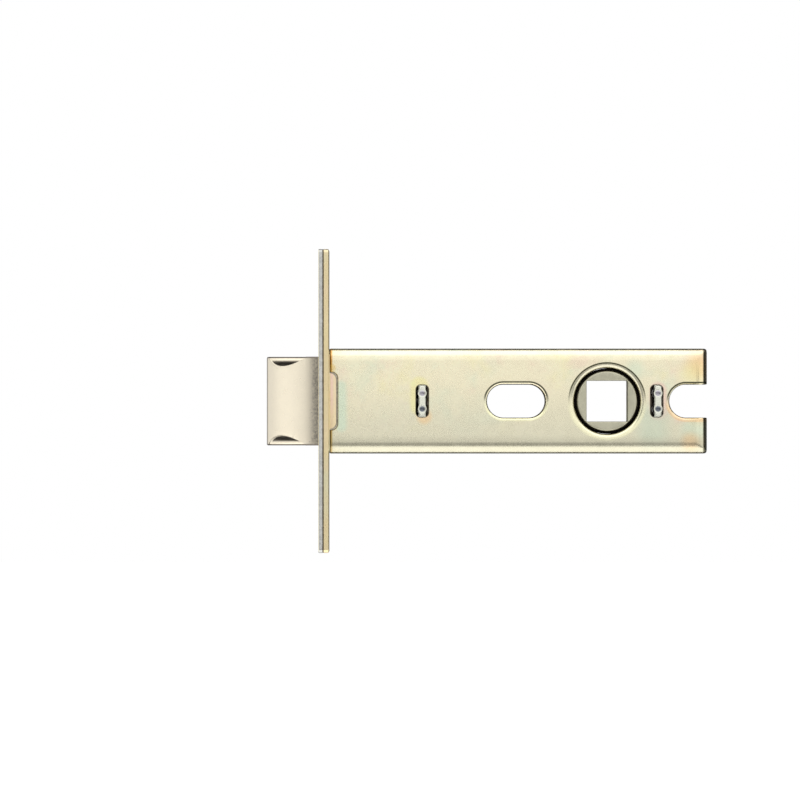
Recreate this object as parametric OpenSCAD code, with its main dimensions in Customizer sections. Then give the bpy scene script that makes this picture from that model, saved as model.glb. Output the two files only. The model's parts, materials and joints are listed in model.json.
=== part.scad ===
// Tubular latch with a box-shaped case, for a door with lever handles.
// X runs into the door from the front face of the face plate, Y across the door, Z up.

/* [Plates] */
// Height of the face plate and the forend
plate_h = 60; // [56:1:66]
// Width of the face plate and the forend
plate_w = 25; // [22:0.5:30]
// Corner radius of both plates
plate_corner_r = 0.5; // [0.2:0.1:2]
// Thickness of the face plate
face_t = 0.8; // [0.6:0.05:1]
// Thickness of the forend
forend_t = 1.3; // [1:0.05:1.8]
// Distance from the end of the plates to a screw hole's centre
screw_margin = 7.5; // [6.5:0.1:9]
// Diameter of the screw holes
screw_d = 5.3; // [4.5:0.1:5.5]
// Diameter of a countersink at the front
countersink_d = 8.45; // [7.6:0.05:8.8]
// Height of the lobes that reach into the aperture
lobe_h = 1.4; // [0.8:0.1:1.6]
// Width of the lobes where they leave the aperture's edge
lobe_w = 7.4; // [6:0.1:8]

/* [Case] */
// Distance from the face plate to the spindle's axis
backset = 57; // [55:0.5:62]
// Length of the case behind the spindle's axis
case_behind_hub = 19.8; // [18.6:0.1:22]
// Height of the case
case_h = 20.6; // [19:0.1:24]
// Thickness of the case
case_t = 14; // [13:0.1:16]
// Thickness of the case's sheet
sheet = 1.2; // [1:0.05:1.3]
// Outside radius of the case's bends
bend_r = 1.8; // [1.5:0.1:2.4]
// Radius rolled on the case's front edge
front_roll_r = 0.5; // [0.2:0.1:0.8]
// Radius of the case's two rear corners, seen from the side
rear_corner_r = 0.6; // [0.3:0.1:1]
// Height of the cut-out for a forend lug
lug_cut_h = 11.5; // [9:0.1:13]
// Depth of the cut-out for a forend lug
lug_cut_d = 1.55; // [1.2:0.05:2]
// Corner radius of the lug and its cut-out
lug_corner_r = 1.3; // [0.6:0.1:1.5]

/* [Fixing slots] */
// Height of the slots that the handle bolts pass through
fixing_slot_h = 6.3; // [6:0.1:6.8]
// Length of the front fixing slot
fixing_slot_l = 11.2; // [9:0.1:11.6]
// Width that the press has rolled in around the slots
slot_rim = 0.5; // [0.2:0.05:0.6]
// Distance from the spindle's axis to the middle of the front slot
fixing_slot_to_hub = 18; // [18:0.1:19]
// Distance from the spindle's axis to the arc centre of the rear notch
fixing_notch_to_hub = 15.6; // [15.6:0.1:17]

/* [Bridges] */
// Distance from the face plate to the middle of the front bridge
front_bridge_x = 20.4; // [20:0.1:21.5]
// Distance from the spindle's axis to the middle of the rear bridge
rear_bridge_to_hub = 10.1; // [9.9:0.05:10.4]
// Thickness of the bridges' sheet
bridge_t = 1.4; // [1.3:0.05:1.6]
// Height of the tenons
tenon_h = 6.2; // [5:0.1:7]
// Corner radius of the tenons
tenon_corner_r = 0.5; // [0.3:0.05:0.6]
// Width of a tenon where a punch mark spreads it
stake_w = 1.8; // [1.7:0.05:1.9]
// Width of the case's slots for the tenons
tenon_slot_w = 2.45; // [2.3:0.05:2.8]
// Radius of the punch that stakes the tenons
punch_r = 0.75; // [0.5:0.05:0.8]
// Distance between the two punch marks of a tenon
punch_pitch = 3.1; // [2.4:0.1:3.6]

/* [Bolt] */
// Projection of the bolt from the face plate
bolt_out = 10.5; // [9:0.1:11.5]
// Travel of the bolt
bolt_throw = 10.3; // [9:0.1:10.6]
// Width of the flat land on the bolt's tip
bolt_land = 0.6; // [0.3:0.1:1.2]
// Length of the bevel along the bolt
bevel_l = 11.5; // [9:0.1:12]
// Radius of the bevel
bevel_r = 17.8; // [14:0.1:24]
// Depth of the grooves in the bolt's top and bottom
groove_d = 1.8; // [1.6:0.1:2.2]
// Width of the grooves
groove_w = 8.1; // [7.8:0.1:8.6]
// Radius on the bolt's long edges
bolt_edge_r = 0.35; // [0.1:0.05:0.5]
// Gap around the bolt in the aperture
aperture_gap_y = 0.5; // [0.3:0.05:0.6]
// Gap above and below the bolt in the aperture
aperture_gap_z = 0.6; // [0.4:0.05:0.8]

/* [Tail] */
// Diameter of the bolt's tail
tail_d = 4; // [3.4:0.1:4.2]
// Depth of the tail's seat in the bolt
tail_seat = 4.5; // [3:0.1:4.8]
// Diameter of the spring pocket in the bolt
pocket_d = 6.8; // [6.6:0.1:7.4]
// Thickness of the retaining ring on the tail
ring_t = 1; // [0.8:0.05:1.2]
// Wall of the retaining ring outside the tail
ring_wall = 1.5; // [1.2:0.05:1.7]

/* [Draw bar] */
// Thickness of the draw bar's sheet
draw_t = 1.2; // [1:0.05:1.3]
// Width of a leg beside the window that a horn reaches through
rail_w = 1.3; // [1:0.05:1.6]
// Free length of a leg behind its tab
leg_end = 1.2; // [0.8:0.1:1.6]

/* [Follower] */
// Width across the flats of the spindle hole
spindle_af = 8.1; // [7.1:0.1:8.1]
// Wall of the journals at the corners of the spindle hole
journal_wall = 0.77; // [0.7:0.01:0.85]
// Width of the shoulder between a journal and its boss
shoulder_w = 0.6; // [0.45:0.05:0.65]
// Depth of the bosses' faces below the case
boss_sink = 0.4; // [0.2:0.05:0.8]
// Depth of the journals' shoulders below the case
shoulder_sink = 1.3; // [1.1:0.05:1.6]
// Width of the countersunk mouth around a journal's bore
mouth_w = 0.9; // [0.3:0.05:0.95]
// Turn of the follower in degrees
follower_turn = 70; // [66:1:70]
// Angle that a horn spans in degrees
horn_span = 13; // [11:1:13]

/* [Springs] */
// Ratio of the return springs' mean diameter to their wire
return_index = 4.4; // [4.2:0.1:6]
// Turns of a return spring
return_turns = 13; // [10:1:14]
// Wire diameter of the bolt spring
bolt_wire = 0.6; // [0.5:0.05:0.65]
// Mean diameter of the bolt spring
bolt_mean_d = 5.5; // [5.3:0.1:5.6]
// Turns of the bolt spring
bolt_turns = 11; // [9:1:12]
// Length of the guide pins behind the draw bar
guide_l = 9; // [6:0.1:9]
// Length of the spigots on the saddle
spigot_l = 2.5; // [1.5:0.1:2.5]
// Thickness of the saddle
saddle_t = 1.2; // [1:0.05:1.3]
// Distance of the saddle from the horns at rest
saddle_lead = 0.7; // [0.7:0.05:0.9]

/* [Clearances] */
// Between parts that slide on each other
slide_gap = 0.1; // [0.08:0.01:0.15]
// Above and below the bolt in the case
bolt_gap_z = 0.3; // [0.2:0.05:0.5]
// Between the draw bar and the collars around the journals
collar_gap = 0.9; // [0.7:0.05:1.1]
// Between a journal and its bore, on the radius
journal_gap = 0.05; // [0.03:0.01:0.08]
// Between a lug and its cut-out
lug_gap = 0.25; // [0.15:0.05:0.35]
// Between a pressed pin and its hole, on the radius
press_gap = 0.01; // [0.01:0.005:0.02]
// Around the tail in the bridge and the draw bar
tail_gap = 0.2; // [0.1:0.05:0.3]
// Between a horn and its pull tab
tab_gap = 0.25; // [0.25:0.05:0.4]
// Left between the drawn bolt and the front bridge
stop_gap = 0.7; // [0.3:0.1:1]

/* [Hidden] */
$fn = 96;

over = 1;
plates_t = face_t + forend_t;
screw_spacing = plate_h - 2 * screw_margin;
inside_h = case_h - 2 * sheet;
inside_t = case_t - 2 * sheet;
bolt_t = inside_t - 2 * slide_gap;
bolt_h = inside_h - 2 * bolt_gap_z;
aperture_w = bolt_t + 2 * aperture_gap_y;
aperture_h = bolt_h + 2 * aperture_gap_z;
lobe_r = arc_r(lobe_w, lobe_h);
groove_r = arc_r(groove_w, groove_d);
countersink_l = (countersink_d - screw_d) / 2;

case_end = backset + case_behind_hub;
journal_d = spindle_af * sqrt(2) + 2 * journal_wall;
boss_d = journal_d - 2 * shoulder_w;
collar_r = journal_d / 2 + journal_gap + 0.8 * sheet;
collar_l = 0.9;
rear_bridge_x = backset + rear_bridge_to_hub;
tenon_slot_h = tenon_h + 2 * slide_gap;
slot_reach = (fixing_slot_l - fixing_slot_h) / 2;
rear_slot_x = rear_bridge_x + (stake_w - tenon_slot_w + slide_gap) / 2;

bolt_rear = front_bridge_x - bridge_t / 2 - bolt_throw - stop_gap;
bevel_from = [-bolt_out, bolt_t / 2 - bolt_land];
bevel_to = [bevel_l - bolt_out, -bolt_t / 2];
bevel_centre = arc_centre(bevel_from, bevel_to, bevel_r);

draw_x = front_bridge_x + bridge_t / 2 + 2 * slide_gap;
draw_h = inside_h - 2 * slide_gap;
draw_w = inside_t - 2 * (collar_l + collar_gap);
window_w = draw_w - 2 * rail_w;
horn_t = window_w - 4 * slide_gap;
horn_r = inside_h / 2 - slide_gap;
horn_angle = 90 + follower_turn / 2;
horn_root_r = 0.85 * journal_d / 2;
horn_root_angle = horn_angle - 12;
horn_front_x = backset + horn_r * cos(horn_angle + horn_span);
tab_x = backset + horn_r * cos(horn_angle) + tab_gap;
tab_drop = draw_h / 2 - draw_t - journal_d / 2 - 5 * slide_gap;
window_l = tab_x - horn_front_x + 8 * slide_gap;
ring_x = draw_x + draw_t + slide_gap / 2;
ring_d = tail_d + 2 * ring_wall;
return_outer_d = (draw_h - ring_d) / 2 - draw_t - 5 * slide_gap;
return_wire = return_outer_d / (return_index + 1);
return_mean_d = return_outer_d - return_wire;
return_z = draw_h / 2 - draw_t - return_outer_d / 2 - 2 * slide_gap;
guide_d = return_mean_d - return_wire - 3 * slide_gap;
tail_end = ring_x + ring_t + 0.8;
tail_groove_r = 0.36 * tail_d;
saddle_rear = min(horn_front_x - saddle_lead, backset - journal_d / 2 - 5 * slide_gap);
saddle_x = saddle_rear - saddle_t;
saddle_h = draw_h - 2 * draw_t - 4 * slide_gap;
saddle_w = inside_t - 2 * collar_l - 6 * slide_gap;

// Radius of an arc with this chord and rise
function arc_r(chord, rise) = (chord * chord / 4 + rise * rise) / (2 * rise);

// Centre of the arc of radius r from p to q that lies on the door's side of the bevel
function arc_centre(p, q, r) =
    let (d = q - p, half = norm(d) / 2, n = [-d[1], d[0]] / norm(d))
    (p + q) / 2 + n * sqrt(r * r - half * half);

// Distance along a spring at turn t, with one closed turn at each end
function spring_advance(t, turns, length, wire) =
    let (closed = 1.15 * wire, open = (length - wire - 2 * closed) / (turns - 2))
    wire / 2 + (t < 1 ? closed * t
        : t > turns - 1 ? length - wire - closed * (turns - t)
        : closed + open * (t - 1));

// Extrudes a profile drawn in X and Z, centred across the case
module across(width) {
    rotate([90, 0, 0]) linear_extrude(height = width, center = true) children();
}

// Extrudes a section drawn in Y and Z, from x along the latch
module along(x, length) {
    translate([x, 0, 0]) rotate([90, 0, 90]) linear_extrude(height = length) children();
}

// Cylinder across the case at x and z, between two values of Y
module cross_rod(x, z, y_from, y_to, r1, r2) {
    translate([x, y_from, z]) rotate([-90, 0, 0]) cylinder(h = y_to - y_from, r1 = r1, r2 = r2);
}

// Rectangle from a to b with its corners rounded
module rounded_box_2d(a, b, r) {
    translate([a[0] + r, a[1]]) square([b[0] - a[0] - 2 * r, b[1] - a[1]]);
    translate([a[0], a[1] + r]) square([b[0] - a[0], b[1] - a[1] - 2 * r]);
    for (x = [a[0] + r, b[0] - r], y = [a[1] + r, b[1] - r]) translate([x, y]) circle(r);
}

module rounded_2d(w, h, r) {
    rounded_box_2d([-w / 2, -h / 2], [w / 2, h / 2], r);
}

// Opening for the bolt, with a lobe in the middle of its top and bottom
module aperture_2d() {
    difference() {
        square([aperture_w, aperture_h], center = true);
        for (s = [-1, 1]) translate([0, s * (aperture_h / 2 - lobe_h + lobe_r)]) circle(lobe_r);
    }
}

module plate_2d() {
    difference() {
        rounded_2d(plate_w, plate_h, plate_corner_r);
        aperture_2d();
    }
}

// Screw holes and their countersinks, through both plates
module screw_holes() {
    for (s = [-1, 1]) translate([0, 0, s * screw_spacing / 2]) rotate([0, 90, 0]) {
        translate([0, 0, -over]) cylinder(h = plates_t + 2 * over, d = screw_d);
        translate([0, 0, -over])
            cylinder(h = countersink_l + over, r1 = countersink_d / 2 + over, r2 = screw_d / 2);
    }
}

// Outline of a forend lug, or of its cut-out when grown by the lug's gap
module lug_2d(grow) {
    h = lug_cut_h / 2 - lug_gap + grow;
    d = lug_cut_d - lug_gap + grow;
    rounded_box_2d([plates_t - 2 * lug_corner_r, -h], [plates_t + d, h], lug_corner_r);
}

// Solid of the case's outer or inner form: rounded along its length and at its rear end
module case_form(inset, x_from, r_front) {
    r = max(bend_r - inset, 0.2);
    half = case_t / 2 - inset;
    intersection() {
        along(x_from, case_end - inset - x_from) rounded_2d(2 * half, case_h - 2 * inset, r);
        translate([0, 0, -case_h]) linear_extrude(height = 2 * case_h) {
            translate([x_from + r_front, -half])
                square([case_end - inset - r - x_from - r_front, 2 * half]);
            translate([x_from, -half + r_front])
                square([2 * r, 2 * half - 2 * r_front]);
            translate([case_end - inset - 2 * r, -half + r]) square([2 * r, 2 * half - 2 * r]);
            for (s = [-1, 1]) {
                translate([x_from + r_front, s * (half - r_front)]) circle(r_front);
                translate([case_end - inset - r, s * (half - r)]) circle(r);
            }
        }
    }
}

// One pressed half of the case; side is -1 for the near half and 1 for the far half
module case_half(side) {
    difference() {
        union() {
            difference() {
                intersection() {
                    case_form(0, plates_t, front_roll_r);
                    across(2 * case_t)
                        rounded_box_2d([-case_end, -case_h / 2], [case_end, case_h / 2], rear_corner_r);
                }
                case_form(sheet, plates_t - over, 0.2);
            }
            cross_rod(backset, 0, min(side * (inside_t / 2 - collar_l), side * (case_t / 2 - mouth_w)),
                max(side * (inside_t / 2 - collar_l), side * (case_t / 2 - mouth_w)),
                collar_r, collar_r);
        }
        translate([0, side < 0 ? 0 : -case_t, -case_h]) cube([2 * case_end, case_t, 2 * case_h]);
        cross_rod(backset, 0, -case_t, case_t, journal_d / 2 + journal_gap, journal_d / 2 + journal_gap);
        hub_mouth(side);
        across(2 * case_t) lug_2d(lug_gap);
        across(2 * case_t) {
            for (x = [front_bridge_x, rear_slot_x]) translate([x, 0])
                rounded_2d(tenon_slot_w, tenon_slot_h, tenon_corner_r + slide_gap);
        }
        slot_cut(side, backset - fixing_slot_to_hub - slot_reach, 2 * slot_reach);
        slot_cut(side, backset + fixing_notch_to_hub, case_end);
    }
}

// Fixing slot with round ends a length apart, whose rim is rolled in at the case's face
module slot_cut(side, x, length) {
    face = case_t / 2;
    r = fixing_slot_h / 2;
    grown = r + slot_rim + over;
    mirror([0, side < 0 ? 1 : 0, 0]) {
        for (end = [x, x + length]) {
            cross_rod(end, 0, 0, face + over, r, r);
            cross_rod(end, 0, face - slot_rim, face + over, r, grown);
        }
        along(x, length) {
            translate([0, -r]) square([face + over, 2 * r]);
            polygon([
                [face - slot_rim, -r], [face + over, -grown], [face + over, grown], [face - slot_rim, r]
            ]);
        }
    }
}

// Countersunk mouth of the journal's bore in the case's face
module hub_mouth(side) {
    bore_r = journal_d / 2 + journal_gap;
    grown = bore_r + mouth_w + over;
    if (side < 0) cross_rod(backset, 0, -case_t / 2 - over, -case_t / 2 + mouth_w, grown, bore_r);
    else cross_rod(backset, 0, case_t / 2 - mouth_w, case_t / 2 + over, bore_r, grown);
}

// Spacer that holds the halves apart; its tenons are staked in the case with two punch marks each
module bridge(x, tail_hole) {
    difference() {
        union() {
            along(x - bridge_t / 2, bridge_t)
                rounded_2d(inside_t - slide_gap, draw_h, 0.5);
            across(case_t) translate([x, 0]) rounded_2d(bridge_t, tenon_h, tenon_corner_r);
            for (flip = [0, 1], s = [-1, 1]) mirror([0, flip, 0])
                cross_rod(x, s * punch_pitch / 2, case_t / 2 - punch_r, case_t / 2,
                    bridge_t * 0.4, stake_w / 2);
        }
        if (tail_hole) along(x - bridge_t, 2 * bridge_t) circle(tail_d / 2 + tail_gap);
        for (side = [-1, 1], s = [-1, 1])
            translate([x, side * (case_t / 2 + punch_r / 3), s * punch_pitch / 2]) sphere(punch_r);
    }
}

// Closed-end compression spring from x along the latch; a ring of the wire has six sides
module coil_spring(x, length, mean_d, wire, turns) {
    sides = 6;
    steps = 14;
    rings = turns * steps;
    points = [
        for (i = [0:rings], j = [0:sides - 1])
            let (a = 360 * i / steps, b = 360 * j / sides, r = mean_d / 2 + wire / 2 * cos(b))
            [
                x + spring_advance(i / steps, turns, length, wire) + wire / 2 * sin(b),
                r * cos(a),
                r * sin(a)
            ]
    ];
    walls = [
        for (i = [0:rings - 1], j = [0:sides - 1])
            let (k = (j + 1) % sides, p = i * sides, q = (i + 1) * sides)
            each [[p + j, p + k, q + k], [p + j, q + k, q + j]]
    ];
    caps = [[for (j = [sides - 1:-1:0]) j], [for (j = [0:sides - 1]) rings * sides + j]];
    polyhedron(points = points, faces = concat(walls, caps));
}

module face_plate() {
    color("palegoldenrod") difference() {
        along(0, face_t) plate_2d();
        screw_holes();
    }
}

module forend() {
    color("burlywood") {
        difference() {
            along(face_t, forend_t) plate_2d();
            screw_holes();
        }
        for (side = [-1, 1]) forend_lug(side);
    }
}

// Lug bent back from the forend that lies flush in the case's cut-out
module forend_lug(side) {
    translate([0, side * (case_t / 2 - sheet / 2), 0]) intersection() {
        across(sheet) lug_2d(0);
        translate([plates_t, -sheet, -plate_h / 2]) cube([lug_cut_d, 2 * sheet, plate_h]);
    }
}

module case_half_near() {
    color("beige") case_half(-1);
}

module case_half_far() {
    color("beige") case_half(1);
}

module front_bridge() {
    color("silver") bridge(front_bridge_x, true);
}

module rear_bridge() {
    color("silver") bridge(rear_bridge_x, false);
}

// Bolt with an arched bevel on the near side, grooved top and bottom, and a pocket for its spring
module latch_bolt() {
    color("antiquewhite") difference() {
        intersection() {
            along(-bolt_out, bolt_out + bolt_rear) difference() {
                rounded_2d(bolt_t, bolt_h, bolt_edge_r);
                for (s = [-1, 1]) translate([0, s * (bolt_h / 2 - groove_d + groove_r)]) circle(groove_r);
            }
            translate([0, 0, -bolt_h]) linear_extrude(height = 2 * bolt_h) {
                translate(bevel_centre) circle(bevel_r);
                translate([bevel_to[0] + 0.5, -bolt_t]) square([2 * bevel_r, 2 * bolt_t]);
            }
        }
        along(0, bolt_rear + over) circle(pocket_d / 2);
        along(-tail_seat, tail_seat + over) circle(tail_d / 2 + press_gap);
    }
}

// Round tail pressed into the bolt, with a groove for the retaining ring behind the draw bar
module bolt_tail() {
    from = -tail_seat + slide_gap;
    color("gainsboro") difference() {
        along(from, tail_end - from) circle(tail_d / 2);
        along(ring_x - slide_gap / 2, ring_t + slide_gap) difference() {
            circle(tail_d);
            circle(tail_groove_r);
        }
    }
}

// Open retaining ring that snaps into the tail's groove
module tail_ring() {
    color("dimgray") along(ring_x, ring_t) difference() {
        circle(ring_d / 2);
        circle(tail_groove_r + press_gap);
        translate([0, -tail_d * 0.3]) square([ring_d, tail_d * 0.6]);
    }
}

module bolt_spring() {
    from = slide_gap;
    to = front_bridge_x - bridge_t / 2 - slide_gap;
    color("lightsteelblue") coil_spring(from, to - from, bolt_mean_d, bolt_wire, bolt_turns);
}

// Stirrup that the follower pulls: a crotch around the tail and two legs with lanced pull tabs
module draw_bar() {
    color("lightgray") difference() {
        union() {
            across(draw_w) difference() {
                rounded_box_2d([draw_x, -draw_h / 2], [tab_x + draw_t + leg_end + 2, draw_h / 2], 1.5);
                rounded_box_2d([draw_x + draw_t, -draw_h / 2 + draw_t],
                    [case_end, draw_h / 2 - draw_t], 0.3);
            }
            across(horn_t - 4 * slide_gap) for (s = [-1, 1])
                translate([tab_x, s * (draw_h / 2 - (draw_t + tab_drop) / 2) - (draw_t + tab_drop) / 2])
                    square([draw_t, draw_t + tab_drop]);
        }
        translate([tab_x + draw_t + leg_end, -draw_w, -draw_h]) cube([case_end, 2 * draw_w, 2 * draw_h]);
        translate([tab_x - window_l, -window_w / 2, -draw_h]) cube([window_l, window_w, 2 * draw_h]);
        along(draw_x - over, draw_t + 2 * over) {
            circle(tail_d / 2 + tail_gap);
            for (s = [-1, 1]) translate([0, s * return_z]) circle(guide_d / 2 + press_gap);
        }
    }
}

// Pin riveted in the draw bar that guides a return spring; s is 1 for the top one
module guide_pin(s) {
    translate([0, 0, s * return_z]) along(draw_x, draw_t + guide_l) circle(guide_d / 2);
}

module guide_pin_top() {
    color("gray") guide_pin(1);
}

module guide_pin_bottom() {
    color("gray") guide_pin(-1);
}

// Horn from the pull corner forwards; its rear flank is cut back below the corner to clear the tab
module horn_2d() {
    corner = horn_r * [cos(horn_angle), sin(horn_angle)];
    front = horn_angle + horn_span;
    polygon([
        corner,
        [corner[0] + slide_gap / 2, horn_root_r + 2.5 * slide_gap],
        horn_root_r * [cos(horn_root_angle), sin(horn_root_angle)],
        horn_root_r * [cos(front), sin(front)],
        horn_r * [cos(front), sin(front)],
        horn_r / cos(horn_span / 2) * [cos(front - horn_span / 2), sin(front - horn_span / 2)]
    ]);
}

// Follower that the spindle turns: journals in the case, bosses in its mouths and two horns
module follower() {
    shoulder_y = case_t / 2 - shoulder_sink;
    boss_y = case_t / 2 - boss_sink;
    color("tan") difference() {
        union() {
            cross_rod(backset, 0, -shoulder_y, shoulder_y, journal_d / 2, journal_d / 2);
            cross_rod(backset, 0, -boss_y, boss_y, boss_d / 2, boss_d / 2);
            translate([backset, 0, 0]) across(horn_t) intersection() {
                circle(horn_r);
                union() {
                    horn_2d();
                    mirror([0, 1]) horn_2d();
                }
            }
        }
        translate([backset, 0, 0]) cube([spindle_af, 2 * case_t, spindle_af], center = true);
    }
}

// Plate between the return springs and the horns, with a spigot in each spring
module spring_saddle() {
    color("darkgray") {
        along(saddle_x, saddle_t) rounded_2d(saddle_w, saddle_h, 0.6);
        for (s = [-1, 1]) translate([0, 0, s * return_z])
            along(saddle_x - spigot_l, spigot_l + saddle_t / 2) circle(guide_d / 2);
    }
}

// Return spring between the draw bar and the saddle; s is 1 for the top one
module return_spring(s) {
    from = draw_x + draw_t + slide_gap;
    translate([0, 0, s * return_z])
        coil_spring(from, saddle_x - slide_gap - from, return_mean_d, return_wire, return_turns);
}

module return_spring_top() {
    color("lightsteelblue") return_spring(1);
}

module return_spring_bottom() {
    color("lightsteelblue") return_spring(-1);
}

face_plate();
forend();
case_half_near();
case_half_far();
front_bridge();
rear_bridge();
latch_bolt();
bolt_tail();
tail_ring();
bolt_spring();
draw_bar();
guide_pin_top();
guide_pin_bottom();
follower();
spring_saddle();
return_spring_top();
return_spring_bottom();
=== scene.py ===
"""Looks of a tubular latch with a box-shaped case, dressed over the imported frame.

X runs into the door from the front of the face plate, Y across the door and Z up. All sizes are in metres.
"""

import json
import math

import bmesh
import bpy
from bpy.props import FloatProperty, FloatVectorProperty, IntProperty, PointerProperty
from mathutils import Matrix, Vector

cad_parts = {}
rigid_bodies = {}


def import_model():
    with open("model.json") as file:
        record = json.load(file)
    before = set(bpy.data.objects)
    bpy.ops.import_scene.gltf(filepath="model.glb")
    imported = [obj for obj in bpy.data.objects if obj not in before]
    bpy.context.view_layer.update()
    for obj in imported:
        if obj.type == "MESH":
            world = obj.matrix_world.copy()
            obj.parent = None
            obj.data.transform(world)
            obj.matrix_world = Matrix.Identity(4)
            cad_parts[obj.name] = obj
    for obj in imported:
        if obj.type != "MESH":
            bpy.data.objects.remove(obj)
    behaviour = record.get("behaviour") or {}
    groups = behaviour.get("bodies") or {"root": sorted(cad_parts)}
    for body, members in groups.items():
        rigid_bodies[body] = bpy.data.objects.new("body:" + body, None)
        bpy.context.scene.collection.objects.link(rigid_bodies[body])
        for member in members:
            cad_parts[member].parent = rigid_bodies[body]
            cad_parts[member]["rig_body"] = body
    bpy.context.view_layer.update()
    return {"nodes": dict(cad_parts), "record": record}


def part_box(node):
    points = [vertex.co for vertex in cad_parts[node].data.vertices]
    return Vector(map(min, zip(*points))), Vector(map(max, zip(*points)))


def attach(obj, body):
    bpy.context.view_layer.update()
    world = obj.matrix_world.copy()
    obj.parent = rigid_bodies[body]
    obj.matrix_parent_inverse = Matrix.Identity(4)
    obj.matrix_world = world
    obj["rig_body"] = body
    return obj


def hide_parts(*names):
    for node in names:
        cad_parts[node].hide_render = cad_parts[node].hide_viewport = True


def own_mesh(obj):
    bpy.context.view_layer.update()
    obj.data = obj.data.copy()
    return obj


bl_info = {
    "name": "Tubular Latch",
    "version": (1, 0, 0),
    "blender": (4, 5, 0),
    "location": "3D View > Sidebar > Latch",
    "description": "Models the pieces, finishes and studio of a tubular latch",
    "category": "Object",
}

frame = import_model()

MM = 0.001
OVER = 1 * MM  # cutters reach this far past what they cut
AXES = {"X": (0, 1, 2), "Y": (1, 0, 2), "Z": (2, 0, 1)}  # axis, then the outline's two directions

PLATE_LOW, PLATE_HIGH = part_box("face_plate")
FOREND_LOW, FOREND_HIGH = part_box("forend")
CASE_LOW, CASE_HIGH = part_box("case_half_near")
BOLT_LOW, BOLT_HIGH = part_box("latch_bolt")
TAIL_LOW, TAIL_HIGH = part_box("bolt_tail")
HUB_LOW, HUB_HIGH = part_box("follower")
SPINDLE_X = next(m for m in frame["record"]["mounts"] if m["name"] == "spindle")["pos_m"][0]
CASE_HALF_T = -CASE_LOW.y
CASE_HALF_H = CASE_HIGH.z


# Sizes and colours


def length(name, description, default):
    """A length property in metres."""
    return FloatProperty(name=name, description=description, default=default, min=0, unit="LENGTH",
                         subtype="DISTANCE", precision=5)


def colour(name, description, default):
    """A colour property from 8-bit sRGB values."""
    linear = [(c / 255 / 12.92) if c <= 10 else ((c / 255 + 0.055) / 1.055) ** 2.4 for c in default]
    return FloatVectorProperty(name=name, description=description, default=linear, min=0, max=1, size=3,
                               subtype="COLOR")


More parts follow.
